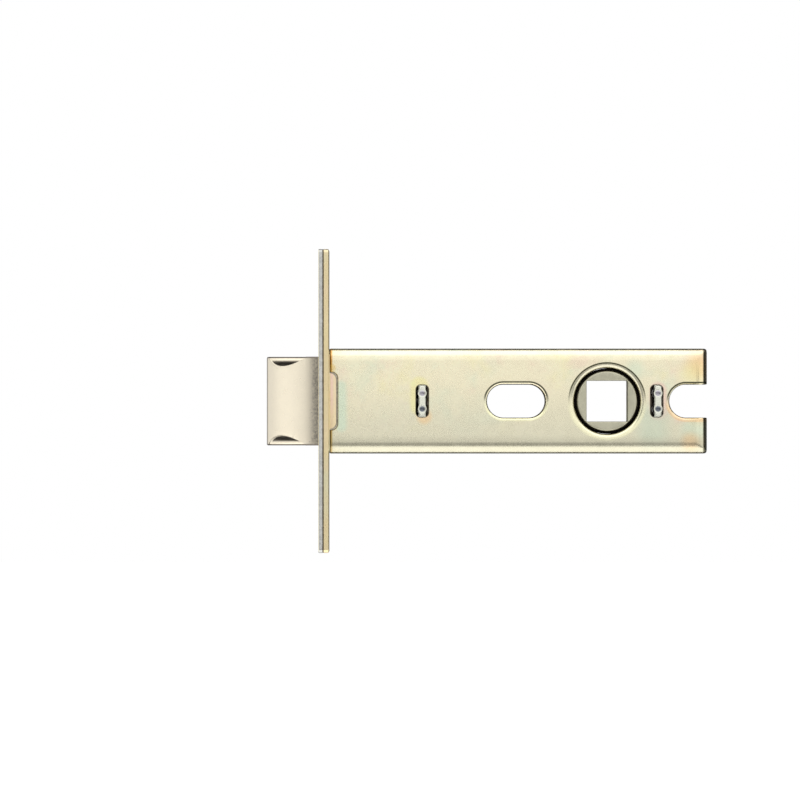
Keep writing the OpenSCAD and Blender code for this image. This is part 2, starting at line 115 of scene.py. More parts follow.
class LatchSizes(bpy.types.PropertyGroup):
    """Sizes of the modelled pieces."""

    plate_growth: length("Plate growth", "Crown and lacquer of the face plate", 0.1 * MM)
    plate_corner: length("Plate corner", "Corner radius of the face plate and the forend", 0.8 * MM)
    plate_edge: length("Plate edge", "Rounding of the plates' edges", 0.14 * MM)
    screw_spacing: length("Screw spacing", "Distance between the two screw holes", 45 * MM)
    screw_hole: length("Screw hole", "Diameter of the screw holes", 5.3 * MM)
    countersink: length("Countersink", "Diameter of the countersinks at the front", 8.45 * MM)
    aperture_gap_y: length("Aperture side gap", "Gap beside the bolt in the plates", 0.5 * MM)
    aperture_gap_z: length("Aperture end gap", "Gap above and below the bolt in the plates", 0.6 * MM)
    lobe_height: length("Lobe height", "Height of the lobes that reach into the aperture", 1.4 * MM)
    lobe_width: length("Lobe width", "Width of the lobes at the aperture's edge", 7.4 * MM)
    lug_height: length("Lug height", "Height of the forend's lugs", 11 * MM)
    lug_corner: length("Lug corner", "Corner radius of the forend's lugs", 1.3 * MM)
    lug_gap: length("Lug gap", "Gap around a lug in the case", 0.25 * MM)
    forend_relief: length("Forend relief", "Step behind the forend's edges, outside the case", 0.2 * MM)

    sheet: length("Sheet", "Thickness of the case's sheet", 1.2 * MM)
    case_growth: length("Case growth", "Added to the case's height at the top and bottom", 0.1 * MM)
    bend: length("Bend", "Reach of the case's bends from its outline", 2.4 * MM)
    front_roll: length("Front roll", "Radius rolled on the case's front edge", 0.5 * MM)
    sheet_edge: length("Sheet edge", "Rounding of the case's cut edges", 0.2 * MM)
    slot_length: length("Slot length", "Length of the front fixing slot", 11.55 * MM)
    slot_height: length("Slot height", "Height of the fixing slots", 6.55 * MM)
    slot_roll: length("Slot roll", "Width rolled in around the fixing slots", 0.6 * MM)
    slot_to_hub: length("Slot to hub", "From the spindle to the middle of the front slot", 18 * MM)
    notch_to_hub: length("Notch to hub", "From the spindle to the rear notch's arc centre", 15.6 * MM)
    hub_bore: length("Hub bore", "Bore of the case around the follower's journals", 13.1 * MM)
    hub_mouth: length("Hub mouth", "Width rolled in around the follower's bore", 1.15 * MM)
    collar_wall: length("Collar wall", "Wall of the collar around the bore", 0.96 * MM)
    collar_height: length("Collar height", "Height of the collar inside the case", 0.9 * MM)

    bridge_sheet: length("Bridge sheet", "Thickness of the bridges", 1.4 * MM)
    front_bridge_x: length("Front bridge", "From the face plate to the front bridge", 20.4 * MM)
    rear_bridge_x: length("Rear bridge", "From the face plate to the rear bridge", 67.1 * MM)
    tenon_height: length("Tenon height", "Height of the bridges' tenons", 6.2 * MM)
    tenon_slot: length("Tenon slot", "Width of the case's slots for the tenons", 2.45 * MM)
    tenon_corner: length("Tenon corner", "Corner radius of the near half's tenon slots", 0.95 * MM)
    tenon_neck: length("Tenon neck", "Width of a tenon between its punch marks", 1.28 * MM)
    stake_width: length("Stake width", "Width of a tenon where a punch spreads it", 1.8 * MM)
    punch_pitch: length("Punch pitch", "Distance between a tenon's two punch marks", 3.1 * MM)
    punch_radius: length("Punch radius", "Radius of a punch mark", 0.75 * MM)
    punch_depth: length("Punch depth", "Depth of the punch marks", 0.34 * MM)

    bolt_land: length("Bolt land", "Width of the flat land on the bolt's tip", 0.6 * MM)
    bevel_length: length("Bevel length", "Length of the bolt's bevel", 11.5 * MM)
    bevel_radius: length("Bevel radius", "Radius of the bolt's bevel", 17.8 * MM)
    groove_depth: length("Groove depth", "Depth of the grooves in the bolt's top and bottom", 1.8 * MM)
    groove_width: length("Groove width", "Width of the grooves", 8.1 * MM)
    bolt_edge: length("Bolt edge", "Rounding of the bolt's edges", 0.3 * MM)
    # The heel's dark speckle is painted shade near the face plate.
    heel_length: length("Heel length", "Length of the grainy part before the face plate", 2.2 * MM)
    pocket: length("Spring pocket", "Diameter of the spring pocket in the bolt", 6.8 * MM)

    boss: length("Hub boss", "Diameter of the follower's bosses", 11.795 * MM)
    return_wire: length("Return wire", "Wire diameter of the return springs", 0.7 * MM)
    return_turns: IntProperty(name="Return turns", description="Turns of a return spring", default=13, min=3)
    bolt_wire: length("Bolt wire", "Wire diameter of the bolt spring", 0.6 * MM)
    bolt_turns: IntProperty(name="Bolt turns", description="Turns of the bolt spring", default=11, min=3)


class LatchFinishes(bpy.types.PropertyGroup):
    """Colours of the finishes."""

    brass: colour("Brass", "Polished front of the face plate", (252, 238, 188))
    # Darker brass painted in the countersinks, standing in for their shade.
    countersink_shade: colour("Countersink", "Dull brass in the countersinks", (158, 124, 58))
    lug_edge: colour("Lug edge", "Yellow passivate along the lugs' rear edge", (255, 236, 194))
    plate_rim: colour("Plate rim", "Cut edge of the face plate", (203, 203, 198))
    forend: colour("Forend", "Passivated steel of the forend", (236, 217, 172))
    lug: colour("Lug", "Pink passivate on the forend's lugs", (255, 224, 208))
    # The dark line in the joint of the plates, and painted shade in the crevice at the case's front edge.
    joint_grime_and_shade: colour("Grime", "Dark line in the joint of the plates", (92, 80, 64))
    # Gold passivate on the case's front edge; darker copies of it low down are painted shade.
    gold: colour("Gold edge", "Thick yellow passivate on the case's front edge", (222, 166, 78))
    passivate: colour("Passivate", "Pale plating of the case", (253, 244, 212))
    # Painted shade: this darker copy of the plating stands in for the shade low on the case, on the bore's
    # upper mouth and above the bottom bend.
    passivate_shaded: colour("Low passivate", "Duller plating low on the case", (231, 226, 200))
    # Painted shade on the openings' upper rims, in the gap round the lug and on the rear bend.
    shade: colour("Shaded rim", "Dull plating on the openings' upper rims", (88, 88, 66))
    # Painted highlight on the openings' lower rims.
    painted_rim_highlight: colour("Bright rim", "Bright plating on the openings' lower rims", (255, 251, 208))
    pink: colour("Pink bloom", "Pink cast of the plating", (248, 219, 200))
    green: colour("Green bloom", "Green cast of the plating", (219, 238, 214))
    yellow: colour("Yellow bloom", "Yellow cast of the plating", (255, 246, 182))
    orange: colour("Orange bloom", "Orange cast of the plating", (255, 214, 160))
    nickel: colour("Nickel", "Satin nickel of the bolt", (240, 230, 208))
    # Painted shade: dark outline on the bolt's outer edges and tip, and dark speckle at the heel.
    painted_edge_shade: colour("Burnished rim", "Darker nickel on the bolt's outer edges", (118, 110, 102))
    # Painted shade in the bolt's grooves.
    groove: colour("Groove", "Dull nickel in the bolt's grooves", (92, 84, 76))
    steel: colour("Steel", "Bright steel of the bridges and pins", (214, 214, 218))
    # Real oiled steel on the tail, ring and saddle; as painted shade it also darkens the case's inside, the
    # gaps round the near tenons and the lugs' parts inside the case.
    oiled_steel_and_shade: colour("Oiled steel", "Darkened steel inside the latch", (70, 66, 60))
    tenon: colour("Tenon", "Bright steel of the tenons' ends", (240, 241, 226))
    punched: colour("Upper punch mark", "Scuffed steel in the upper punch marks", (156, 152, 160))
    # The lower punch marks' darker colour is painted shade.
    punch_mark_shaded: colour("Lower punch mark", "Scuffed steel in the lower punch marks", (84, 90, 102))
    dull: colour("Dull steel", "Browned steel of the draw bar", (92, 80, 56))
    hub: colour("Hub", "Sintered steel of the follower", (198, 195, 172))
    # Near-black journals: painted shade for the gap round the follower's bosses.
    journal: colour("Journal", "Blackened steel of the follower's journals", (24, 21, 17))
    spring: colour("Spring", "Drawn spring wire", (196, 198, 204))


class LatchStudio(bpy.types.PropertyGroup):
    """Camera, floor and reflectors."""

    camera_x: FloatProperty(name="Camera X", description="Place of the camera along the latch",
                            default=16 * MM, unit="LENGTH")
    camera_z: FloatProperty(name="Camera Z", description="Height of the camera", default=-3 * MM,
                            unit="LENGTH")
    target_z: FloatProperty(name="Target Z", description="Height that the camera looks at",
                            default=0.22 * MM, unit="LENGTH")
    distance: length("Distance", "Distance of the camera", 2200 * MM)
    lens: FloatProperty(name="Lens", description="Focal length in millimetres", default=498.5, min=1)
    floor_drop: length("Floor drop", "Height of the latch's axis above the floor", 85 * MM)


# Outlines and solids


def arc(centre, radius, start, end, steps):
    """Points on an arc between two angles in degrees, both ends included."""
    return [
        (centre[0] + radius * math.cos(math.radians(start + (end - start) * i / steps)),
         centre[1] + radius * math.sin(math.radians(start + (end - start) * i / steps)))
        for i in range(steps + 1)
    ]


def circle(centre, radius, steps=72):
    """Points round a circle."""
    return arc(centre, radius, 0, 360 - 360 / steps, steps - 1)


def rounded_box(low, high, radius, steps=6):
    """Outline of a rectangle with round corners."""
    corners = [((high[0] - radius, high[1] - radius), 0), ((low[0] + radius, high[1] - radius), 90),
               ((low[0] + radius, low[1] + radius), 180), ((high[0] - radius, low[1] + radius), 270)]
    return [p for centre, start in corners for p in arc(centre, radius, start, start + 90, steps)]


def obround(centre, length, height, steps=28):
    """Outline of a slot with round ends."""
    reach = (length - height) / 2
    return (arc((centre[0] + reach, centre[1]), height / 2, -90, 90, steps)
            + arc((centre[0] - reach, centre[1]), height / 2, 90, 270, steps))


def arc_radius(chord, rise):
    """Radius of an arc from its chord and its rise."""
    return (chord * chord / 4 + rise * rise) / (2 * rise)


def new_piece(name, vertices, faces):
    """A mesh object with its faces turned outwards."""
    mesh = bpy.data.meshes.new(name)
    mesh.from_pydata(vertices, [], faces)
    piece = bpy.data.objects.new(name, mesh)
    bpy.context.scene.collection.objects.link(piece)
    with_bmesh(piece, lambda bm: bmesh.ops.recalc_face_normals(bm, faces=bm.faces))
    return piece


def with_bmesh(piece, work):
    """Runs work on the piece's mesh as a bmesh."""
    bm = bmesh.new()
    bm.from_mesh(piece.data)
    work(bm)
    bm.to_mesh(piece.data)
    bm.free()


def loft(name, sections, axis="Y"):
    """Solid through sections, which hold (level, outline) with the same number of points each."""
    along, first, second = AXES[axis]
    vertices = []
    for level, outline in sections:
        for u, v in outline:
            point = [0, 0, 0]
            point[along], point[first], point[second] = level, u, v
            vertices.append(point)
    count = len(sections[0][1])
    faces = [
        (k * count + i, k * count + (i + 1) % count, (k + 1) * count + (i + 1) % count, (k + 1) * count + i)
        for k in range(len(sections) - 1) for i in range(count)
    ]
    last = (len(sections) - 1) * count
    faces += [tuple(range(count)), tuple(range(last + count - 1, last - 1, -1))]
    return new_piece(name, vertices, faces)


def prism(name, outline, low, high, axis="Y"):
    """Solid from an outline, extruded along an axis between low and high."""
    return loft(name, [(low, outline), (high, outline)], axis)


def turned(name, profile, centre, axis="Y", steps=96):
    """Solid of revolution about an axis through centre; the profile holds (radius, level) pairs."""
    return loft(name, [(level, circle(centre, radius, steps)) for radius, level in profile], axis)


def rolled_cutter(name, outline, roll, face, depth, fall=1.0):
    """Tool for an opening whose rim is rolled in at the face; outline(growth) gives its section."""
    sections = [(face - OVER, outline(roll)), (face, outline(roll))]
    for i in range(1, 9):
        a = math.radians(90 * i / 8)
        sections.append((face + fall * roll * (1 - math.cos(a)), outline(roll * (1 - math.sin(a)))))
    return loft(name, [*sections, (depth, outline(0))])


def combine(piece, tools, operation="DIFFERENCE"):
    """Cuts the tools from the piece, or joins them to it, and removes them."""
    for tool in tools:
        step = piece.modifiers.new("Combine", "BOOLEAN")
        step.operation = operation
        step.solver = "EXACT"
        step.object = tool
    graph = bpy.context.evaluated_depsgraph_get()
    made = bpy.data.meshes.new_from_object(piece.evaluated_get(graph))
    piece.modifiers.clear()
    piece.data = made
    for tool in tools:
        bpy.data.objects.remove(tool)
    return piece


def soften(piece, width, segments=3, angle=32, weld=False):
    """Rounds the sharp edges and keeps the flat faces flat in the shading."""
    if weld:
        joined = piece.modifiers.new("Weld", "WELD")
        joined.merge_threshold = 0.002 * MM
    else:
        with_bmesh(piece, clean)
        piece.data.shade_smooth()
    rounding = piece.modifiers.new("Rounded edges", "BEVEL")
    rounding.width = width
    rounding.segments = segments
    rounding.limit_method = "ANGLE"
    rounding.angle_limit = math.radians(angle)
    rounding.use_clamp_overlap = False
    rounding.miter_outer = "MITER_ARC"
    normals = piece.modifiers.new("Even normals", "WEIGHTED_NORMAL")
    normals.keep_sharp = True
    return piece


def clean(bm):
    """Merges doubled points and the faces that lie in one plane."""
    bmesh.ops.remove_doubles(bm, verts=bm.verts, dist=0.001 * MM)
    bmesh.ops.dissolve_limit(bm, angle_limit=math.radians(0.4), verts=bm.verts, edges=bm.edges)
    bmesh.ops.recalc_face_normals(bm, faces=bm.faces)


def mount(piece, node, slot, *finishes):
    """Puts the piece in the place of a CAD node, on its body, with its finishes."""
    body = frame["nodes"][node]["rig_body"]
    piece.data.materials.clear()
    for finish in finishes:
        piece.data.materials.append(finish)
    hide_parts(node)
    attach(piece, body)
    return piece


def dress(node, edge, finish):
    """Keeps a CAD node and gives it rounded edges and a finish."""
    piece = frame["nodes"][node]
    for slot in piece.material_slots:
        slot.material = finish
    soften(piece, edge, segments=2, weld=True)
    return piece


# Node groups and finishes


def add(tree, kind, inputs=None, **settings):
    """A node with its settings; an input takes a value or another node's socket."""
    node = tree.nodes.new(kind)
    for key, value in settings.items():
        setattr(node, key, value)
    for key, value in (inputs or {}).items():
        if isinstance(value, bpy.types.NodeSocket):
            tree.links.new(value, node.inputs[key])
        else:
            node.inputs[key].default_value = value
    return node


def calc(tree, operation, *values):
    """Output of a Math node."""
    return add(tree, "ShaderNodeMath", dict(enumerate(values)), operation=operation).outputs[0]


def ramp(tree, value, low, high, start=0.0, end=1.0):
    """Value mapped smoothly from low..high to start..end."""
    node = add(tree, "ShaderNodeMapRange",
               {"Value": value, "From Min": low, "From Max": high, "To Min": start, "To Max": end},
               interpolation_type="SMOOTHSTEP")
    return node.outputs["Result"]


def mix(tree, mask, first, second, blend="MIX"):
    """Colour mixed from first to second by a mask."""
    node = add(tree, "ShaderNodeMix", data_type="RGBA", blend_type=blend)
    for socket, value in ((node.inputs[0], mask), (node.inputs[6], first), (node.inputs[7], second)):
        if isinstance(value, bpy.types.NodeSocket):
            tree.links.new(value, socket)
        else:
            socket.default_value = value
    return node.outputs[2]


def noise(tree, place, size, detail=3.0, roughness=0.55, shift=0.0):
    """Noise whose features are about size across; shift gives another pattern."""
    moved = add(tree, "ShaderNodeVectorMath", {0: place, 1: (shift, shift / 2, -shift)}, operation="ADD")
    node = add(tree, "ShaderNodeTexNoise",
               {"Vector": moved.outputs[0], "Scale": 1 / size, "Detail": detail, "Roughness": roughness})
    return node.outputs["Fac"]


def rgba(value):
    """A colour property's value with full alpha."""
    return (*value, 1)


def group(name, inputs, outputs):
    """An empty shader group; inputs hold (name, kind, default), outputs (name, kind)."""
    tree = bpy.data.node_groups.new(name, "ShaderNodeTree")
    for label, kind, default in inputs:
        socket = tree.interface.new_socket(name=label, in_out="INPUT", socket_type="NodeSocket" + kind)
        if default is not None:
            socket.default_value = default
    for label, kind in outputs:
        tree.interface.new_socket(name=label, in_out="OUTPUT", socket_type="NodeSocket" + kind)
    return tree, tree.nodes.new("NodeGroupInput").outputs, tree.nodes.new("NodeGroupOutput").inputs


def bloom_group():
    """Pink, green and yellow clouds of a passivated plating over its own colour."""
    name = "Plating bloom"
    if name in bpy.data.node_groups:
        return bpy.data.node_groups[name]
    tree, given, out = group(
        name,
        [("Place", "Vector", None), ("Colour", "Color", None), ("Pink", "Color", None),
         ("Green", "Color", None), ("Yellow", "Color", None), ("Size", "Float", 6 * MM),
         ("Amount", "Float", 0.6)],
        [("Colour", "Color")],
    )
    place = given["Place"]

    def clouds(factor, shift, low, high):
        size = calc(tree, "MULTIPLY", given["Size"], factor)
        scale = calc(tree, "DIVIDE", 1.0, size)
        moved = add(tree, "ShaderNodeVectorMath", {0: place, 1: (shift, -shift, shift / 3)},
                    operation="ADD")
        cloud = add(tree, "ShaderNodeTexNoise",
                    {"Vector": moved.outputs[0], "Scale": scale, "Detail": 4.0, "Roughness": 0.6,
                     "Distortion": 0.4})
        return calc(tree, "MULTIPLY", ramp(tree, cloud.outputs["Fac"], low, high), given["Amount"])

    tinted = mix(tree, clouds(1.6, 0.31, 0.45, 0.75), given["Colour"], given["Green"])
    tinted = mix(tree, clouds(1.1, 0.77, 0.5, 0.78), tinted, given["Pink"])
    tinted = mix(tree, clouds(1.3, 1.43, 0.5, 0.8), tinted, given["Yellow"])
    tree.links.new(tinted, out["Colour"])
    return tree


def grain_group():
    """Fine satin mottle: a brightness factor for the colour, a roughness and a bump height."""
    name = "Satin grain"
    if name in bpy.data.node_groups:
        return bpy.data.node_groups[name]
    tree, given, out = group(
        name,
        [("Place", "Vector", None), ("Size", "Float", 0.35 * MM), ("Contrast", "Float", 0.06),
         ("Roughness", "Float", 0.3), ("Roughness Spread", "Float", 0.06)],
        [("Shade", "Color"), ("Roughness", "Float"), ("Height", "Float")],
    )
    scale = calc(tree, "DIVIDE", 1.0, given["Size"])
    fine = add(tree, "ShaderNodeTexNoise",
               {"Vector": given["Place"], "Scale": scale, "Detail": 3.0, "Roughness": 0.65}).outputs["Fac"]
    coarse = add(tree, "ShaderNodeTexNoise",
                 {"Vector": given["Place"], "Scale": calc(tree, "DIVIDE", scale, 6.0),
                  "Detail": 2.0}).outputs["Fac"]
    both = calc(tree, "ADD", calc(tree, "MULTIPLY", fine, 0.6), calc(tree, "MULTIPLY", coarse, 0.4))
    centred = calc(tree, "SUBTRACT", both, 0.5)
    shade = calc(tree, "ADD", 1.0, calc(tree, "MULTIPLY", centred, calc(tree, "MULTIPLY", 4.0,
                                                                       given["Contrast"])))
    tree.links.new(add(tree, "ShaderNodeCombineColor", {0: shade, 1: shade, 2: shade}).outputs[0],
                   out["Shade"])
    tree.links.new(calc(tree, "ADD", given["Roughness"],
                        calc(tree, "MULTIPLY", centred, calc(tree, "MULTIPLY", 4.0,
                                                             given["Roughness Spread"]))),
                   out["Roughness"])
    tree.links.new(both, out["Height"])
    return tree


def halo_group():
    """Mask that fades with the distance from an upright line in the side view."""
    name = "Opening halo"
    if name in bpy.data.node_groups:
        return bpy.data.node_groups[name]
    tree, given, out = group(
        name,
        [("Place", "Vector", None), ("X", "Float", 0.0), ("Z", "Float", 0.0),
         ("Half Height", "Float", 0.0), ("Inside", "Float", 1 * MM), ("Outside", "Float", 3 * MM),
         ("Amount", "Float", 0.5)],
        [("Mask", "Float")],
    )
    parts = add(tree, "ShaderNodeSeparateXYZ", {0: given["Place"]}).outputs
    aside = calc(tree, "SUBTRACT", parts["X"], given["X"])
    above = calc(tree, "ABSOLUTE", calc(tree, "SUBTRACT", parts["Z"], given["Z"]))
    past = calc(tree, "MAXIMUM", calc(tree, "SUBTRACT", above, given["Half Height"]), 0.0)
    far = calc(tree, "SQRT", calc(tree, "ADD", calc(tree, "MULTIPLY", aside, aside),
                                  calc(tree, "MULTIPLY", past, past)))
    fade = ramp(tree, far, given["Inside"], given["Outside"], 1.0, 0.0)
    tree.links.new(calc(tree, "MULTIPLY", fade, given["Amount"]), out["Mask"])
    return tree


def halo(tree, place, x, z, half_height, inside, outside, amount):
    """Mask of one halo."""
    node = add(tree, "ShaderNodeGroup", node_tree=halo_group())
    tree.links.new(place, node.inputs["Place"])
    values = {"X": x, "Z": z, "Half Height": half_height, "Inside": inside, "Outside": outside,
              "Amount": amount}
    for label, value in values.items():
        node.inputs[label].default_value = value
    return node.outputs["Mask"]


def coordinate(tree, place, axis):
    """One coordinate of the surface point."""
    return add(tree, "ShaderNodeSeparateXYZ", {0: place}).outputs[axis]


def seam_group():
    """Mask of the dark, uneven line in the joint between the two plates."""
    name = "Joint line"
    if name in bpy.data.node_groups:
        return bpy.data.node_groups[name]
    tree, given, out = group(
        name,
        [("Place", "Vector", None), ("X", "Float", 0.0), ("Width", "Float", 0.12 * MM),
         ("Waver", "Float", 0.16 * MM), ("Amount", "Float", 0.85)],
        [("Mask", "Float")],
    )
    along = calc(tree, "SUBTRACT", coordinate(tree, given["Place"], "X"), given["X"])
    uneven = calc(tree, "MULTIPLY", noise(tree, given["Place"], 0.9 * MM, 2.0, 0.6), given["Waver"])
    aside = calc(tree, "SUBTRACT", calc(tree, "ABSOLUTE", along), uneven)
    inner = calc(tree, "MULTIPLY", given["Width"], 0.17)
    fade = ramp(tree, aside, inner, given["Width"], 1.0, 0.0)
    tree.links.new(calc(tree, "MULTIPLY", fade, given["Amount"]), out["Mask"])
    return tree


def seam(tree, place, base, colours):
    """Base colour with the dark line in the joint between the plates."""
    node = add(tree, "ShaderNodeGroup", {"Place": place, "X": PLATE_HIGH.x}, node_tree=seam_group())
    return mix(tree, node.outputs["Mask"], base, rgba(colours.joint_grime_and_shade))


def wear_group():
    """Mask of rubbed, brighter edges, broken up by noise."""
    name = "Edge wear"
    if name in bpy.data.node_groups:
        return bpy.data.node_groups[name]
    tree, given, out = group(name, [("Place", "Vector", None), ("Amount", "Float", 0.5)],
                             [("Mask", "Float")])
    point = tree.nodes.new("ShaderNodeNewGeometry").outputs["Pointiness"]
    edge = ramp(tree, point, 0.51, 0.56)
    broken = ramp(tree, noise(tree, given["Place"], 0.8 * MM), 0.35, 0.6)
    tree.links.new(calc(tree, "MULTIPLY", calc(tree, "MULTIPLY", edge, broken), given["Amount"]),
                   out["Mask"])
    return tree


def start_metal(name):
    """A metal material with its tree, its shader and the object's coordinates."""
    finish = bpy.data.materials.new(name)
    finish.use_nodes = True
    tree = finish.node_tree
    shader = tree.nodes["Principled BSDF"]
    shader.inputs["Metallic"].default_value = 1
    place = tree.nodes.new("ShaderNodeTexCoord").outputs["Object"]
    return finish, tree, shader, place


def finish_metal(tree, shader, place, base, roughness, grain, contrast, bump, spread=0.06, wear=0.0):
    """Adds grain, wear and bump to a base colour and links them to the shader."""
    fine = add(tree, "ShaderNodeGroup", node_tree=grain_group())
    tree.links.new(place, fine.inputs["Place"])
    fine.inputs["Size"].default_value = grain
    fine.inputs["Contrast"].default_value = contrast
    fine.inputs["Roughness"].default_value = roughness
    fine.inputs["Roughness Spread"].default_value = spread
    shaded = mix(tree, 1.0, base, fine.outputs["Shade"], "MULTIPLY")
    if wear:
        rubbed = add(tree, "ShaderNodeGroup", node_tree=wear_group())
        tree.links.new(place, rubbed.inputs["Place"])
        rubbed.inputs["Amount"].default_value = wear
        shaded = mix(tree, rubbed.outputs["Mask"], shaded, (0.9, 0.88, 0.84, 1))
    height = add(tree, "ShaderNodeBump", {"Strength": bump, "Distance": grain / 8,
                                          "Height": fine.outputs["Height"]})
    tree.links.new(shaded, shader.inputs["Base Color"])
    tree.links.new(fine.outputs["Roughness"], shader.inputs["Roughness"])
    tree.links.new(height.outputs[0], shader.inputs["Normal"])


def plain_metal(name, base, roughness, grain=0.3 * MM, contrast=0.06, bump=0.15, spread=0.06, wear=0.0):
    """A metal of one colour with grain, made once."""
    if name in bpy.data.materials:
        return bpy.data.materials[name]
    finish, tree, shader, place = start_metal(name)
    finish_metal(tree, shader, place, rgba(base), roughness, grain, contrast, bump, spread, wear)
    return finish


def brass_finish(colours, sizes):
    """Polished brass at the front, bare mottled steel on the cut edge and darker brass painted as shade in the
    countersinks.
    """
    finish, tree, shader, place = start_metal("Polished brass")
    facing = tree.nodes.new("ShaderNodeNewGeometry").outputs["Normal"]
    towards = add(tree, "ShaderNodeSeparateXYZ", {0: facing}).outputs["X"]
    front = ramp(tree, towards, -0.85, -0.2, 1.0, 0.0)
    mottled = mix(tree, ramp(tree, noise(tree, place, 0.7 * MM, 3.0, 0.7), 0.35, 0.65),
                  rgba([c * 0.8 for c in colours.plate_rim]), rgba(colours.plate_rim))
    rim = seam(tree, place, mottled, colours)
    base = mix(tree, front, rim, rgba(colours.brass))
    height = calc(tree, "SUBTRACT", calc(tree, "ABSOLUTE", coordinate(tree, place, "Z")),
                  sizes.screw_spacing / 2)
    aside = coordinate(tree, place, "Y")
    away = calc(tree, "SQRT", calc(tree, "ADD", calc(tree, "MULTIPLY", height, height),
                                   calc(tree, "MULTIPLY", aside, aside)))
    # Painted shade: the countersinks' cones take the darker brass.
    in_hole = ramp(tree, away, sizes.countersink / 2, sizes.countersink / 2 + 0.05 * MM, 1.0, 0.0)
    deep = ramp(tree, coordinate(tree, place, "X"), 0.03 * MM, 0.15 * MM)
    base = mix(tree, calc(tree, "MULTIPLY", in_hole, deep), base, rgba(colours.countersink_shade))
    finish_metal(tree, shader, place, base, 0.16, 0.5 * MM, 0.02, 0.05, 0.03)
    return finish


def bloom(tree, place, colours, base, amount, size=6 * MM):
    """Base colour with the coloured clouds of the plating."""
    node = add(tree, "ShaderNodeGroup", node_tree=bloom_group())
    tree.links.new(place, node.inputs["Place"])
    node.inputs["Colour"].default_value = rgba(base)
    node.inputs["Pink"].default_value = rgba(colours.pink)
    node.inputs["Green"].default_value = rgba(colours.green)
    node.inputs["Yellow"].default_value = rgba(colours.yellow)
    node.inputs["Size"].default_value = size
    node.inputs["Amount"].default_value = amount
    return node.outputs["Colour"]


def forend_finish(colours):
    """Yellow passivated forend with pink lugs, the dark joint behind the face plate and painted shade on the
    lugs' parts inside the case.
    """
    finish, tree, shader, place = start_metal("Passivated forend")
    base = bloom(tree, place, colours, colours.forend, 0.35)
    behind = ramp(tree, coordinate(tree, place, "X"), CASE_LOW.x - 0.1 * MM, CASE_LOW.x + 0.3 * MM)
    lower = ramp(tree, coordinate(tree, place, "Z"), -5 * MM, 2 * MM, 0.25, 0.95)
    base = mix(tree, calc(tree, "MULTIPLY", behind, lower), base, rgba(colours.lug))
    along = coordinate(tree, place, "X")
    base = mix(tree, ramp(tree, along, FOREND_HIGH.x - 0.9 * MM, FOREND_HIGH.x - 0.4 * MM, 0.0, 0.8), base,
               rgba(colours.lug_edge))
    # Painted shade: the lugs' parts inside the case take the dark steel colour.
    aside = calc(tree, "ABSOLUTE", coordinate(tree, place, "Y"))
    lug_inside_shade = ramp(tree, aside, CASE_HALF_T - 0.3 * MM, CASE_HALF_T - 0.12 * MM, 0.9, 0.0)
    rear = ramp(tree, along, CASE_LOW.x - 0.02 * MM, CASE_LOW.x + 0.02 * MM)
    base = mix(tree, calc(tree, "MULTIPLY", lug_inside_shade, rear), base, rgba(colours.oiled_steel_and_shade))
    base = seam(tree, place, base, colours)
    finish_metal(tree, shader, place, base, 0.3, 0.3 * MM, 0.08, 0.12, 0.05)
    return finish


def rim_mask(tree, place, opening, near, far, up):
    """Mask between two distances outside an opening's edge, on its upper (1) or lower (-1) side."""
    x, reach, radius = opening
    aside = calc(tree, "SUBTRACT", coordinate(tree, place, "X"), x)
    height = coordinate(tree, place, "Z")
    past = calc(tree, "MAXIMUM", calc(tree, "SUBTRACT", calc(tree, "ABSOLUTE", aside), reach), 0.0)
    away = calc(tree, "SQRT", calc(tree, "ADD", calc(tree, "MULTIPLY", past, past),
                                   calc(tree, "MULTIPLY", height, height)))
    half = (far - near) / 2
    offset = calc(tree, "ABSOLUTE", calc(tree, "SUBTRACT", away, radius + (near + far) / 2))
    band = ramp(tree, offset, half * 0.4, half, 1.0, 0.0)
    side = ramp(tree, calc(tree, "MULTIPLY", height, up), -0.2 * radius, 0.5 * radius)
    return calc(tree, "MULTIPLY", band, side)


def box_mask(tree, place, x, half_width, half_height, corner, near, far):
    """Mask that ends between two distances outside a box with round corners in the side view."""
    across = calc(tree, "ABSOLUTE", calc(tree, "SUBTRACT", coordinate(tree, place, "X"), x))
    up = calc(tree, "ABSOLUTE", coordinate(tree, place, "Z"))
    past_x = calc(tree, "MAXIMUM", calc(tree, "SUBTRACT", across, half_width - corner), 0.0)
    past_z = calc(tree, "MAXIMUM", calc(tree, "SUBTRACT", up, half_height - corner), 0.0)
    away = calc(tree, "SQRT", calc(tree, "ADD", calc(tree, "MULTIPLY", past_x, past_x),
                                   calc(tree, "MULTIPLY", past_z, past_z)))
    return ramp(tree, away, corner + near, corner + far, 1.0, 0.0)


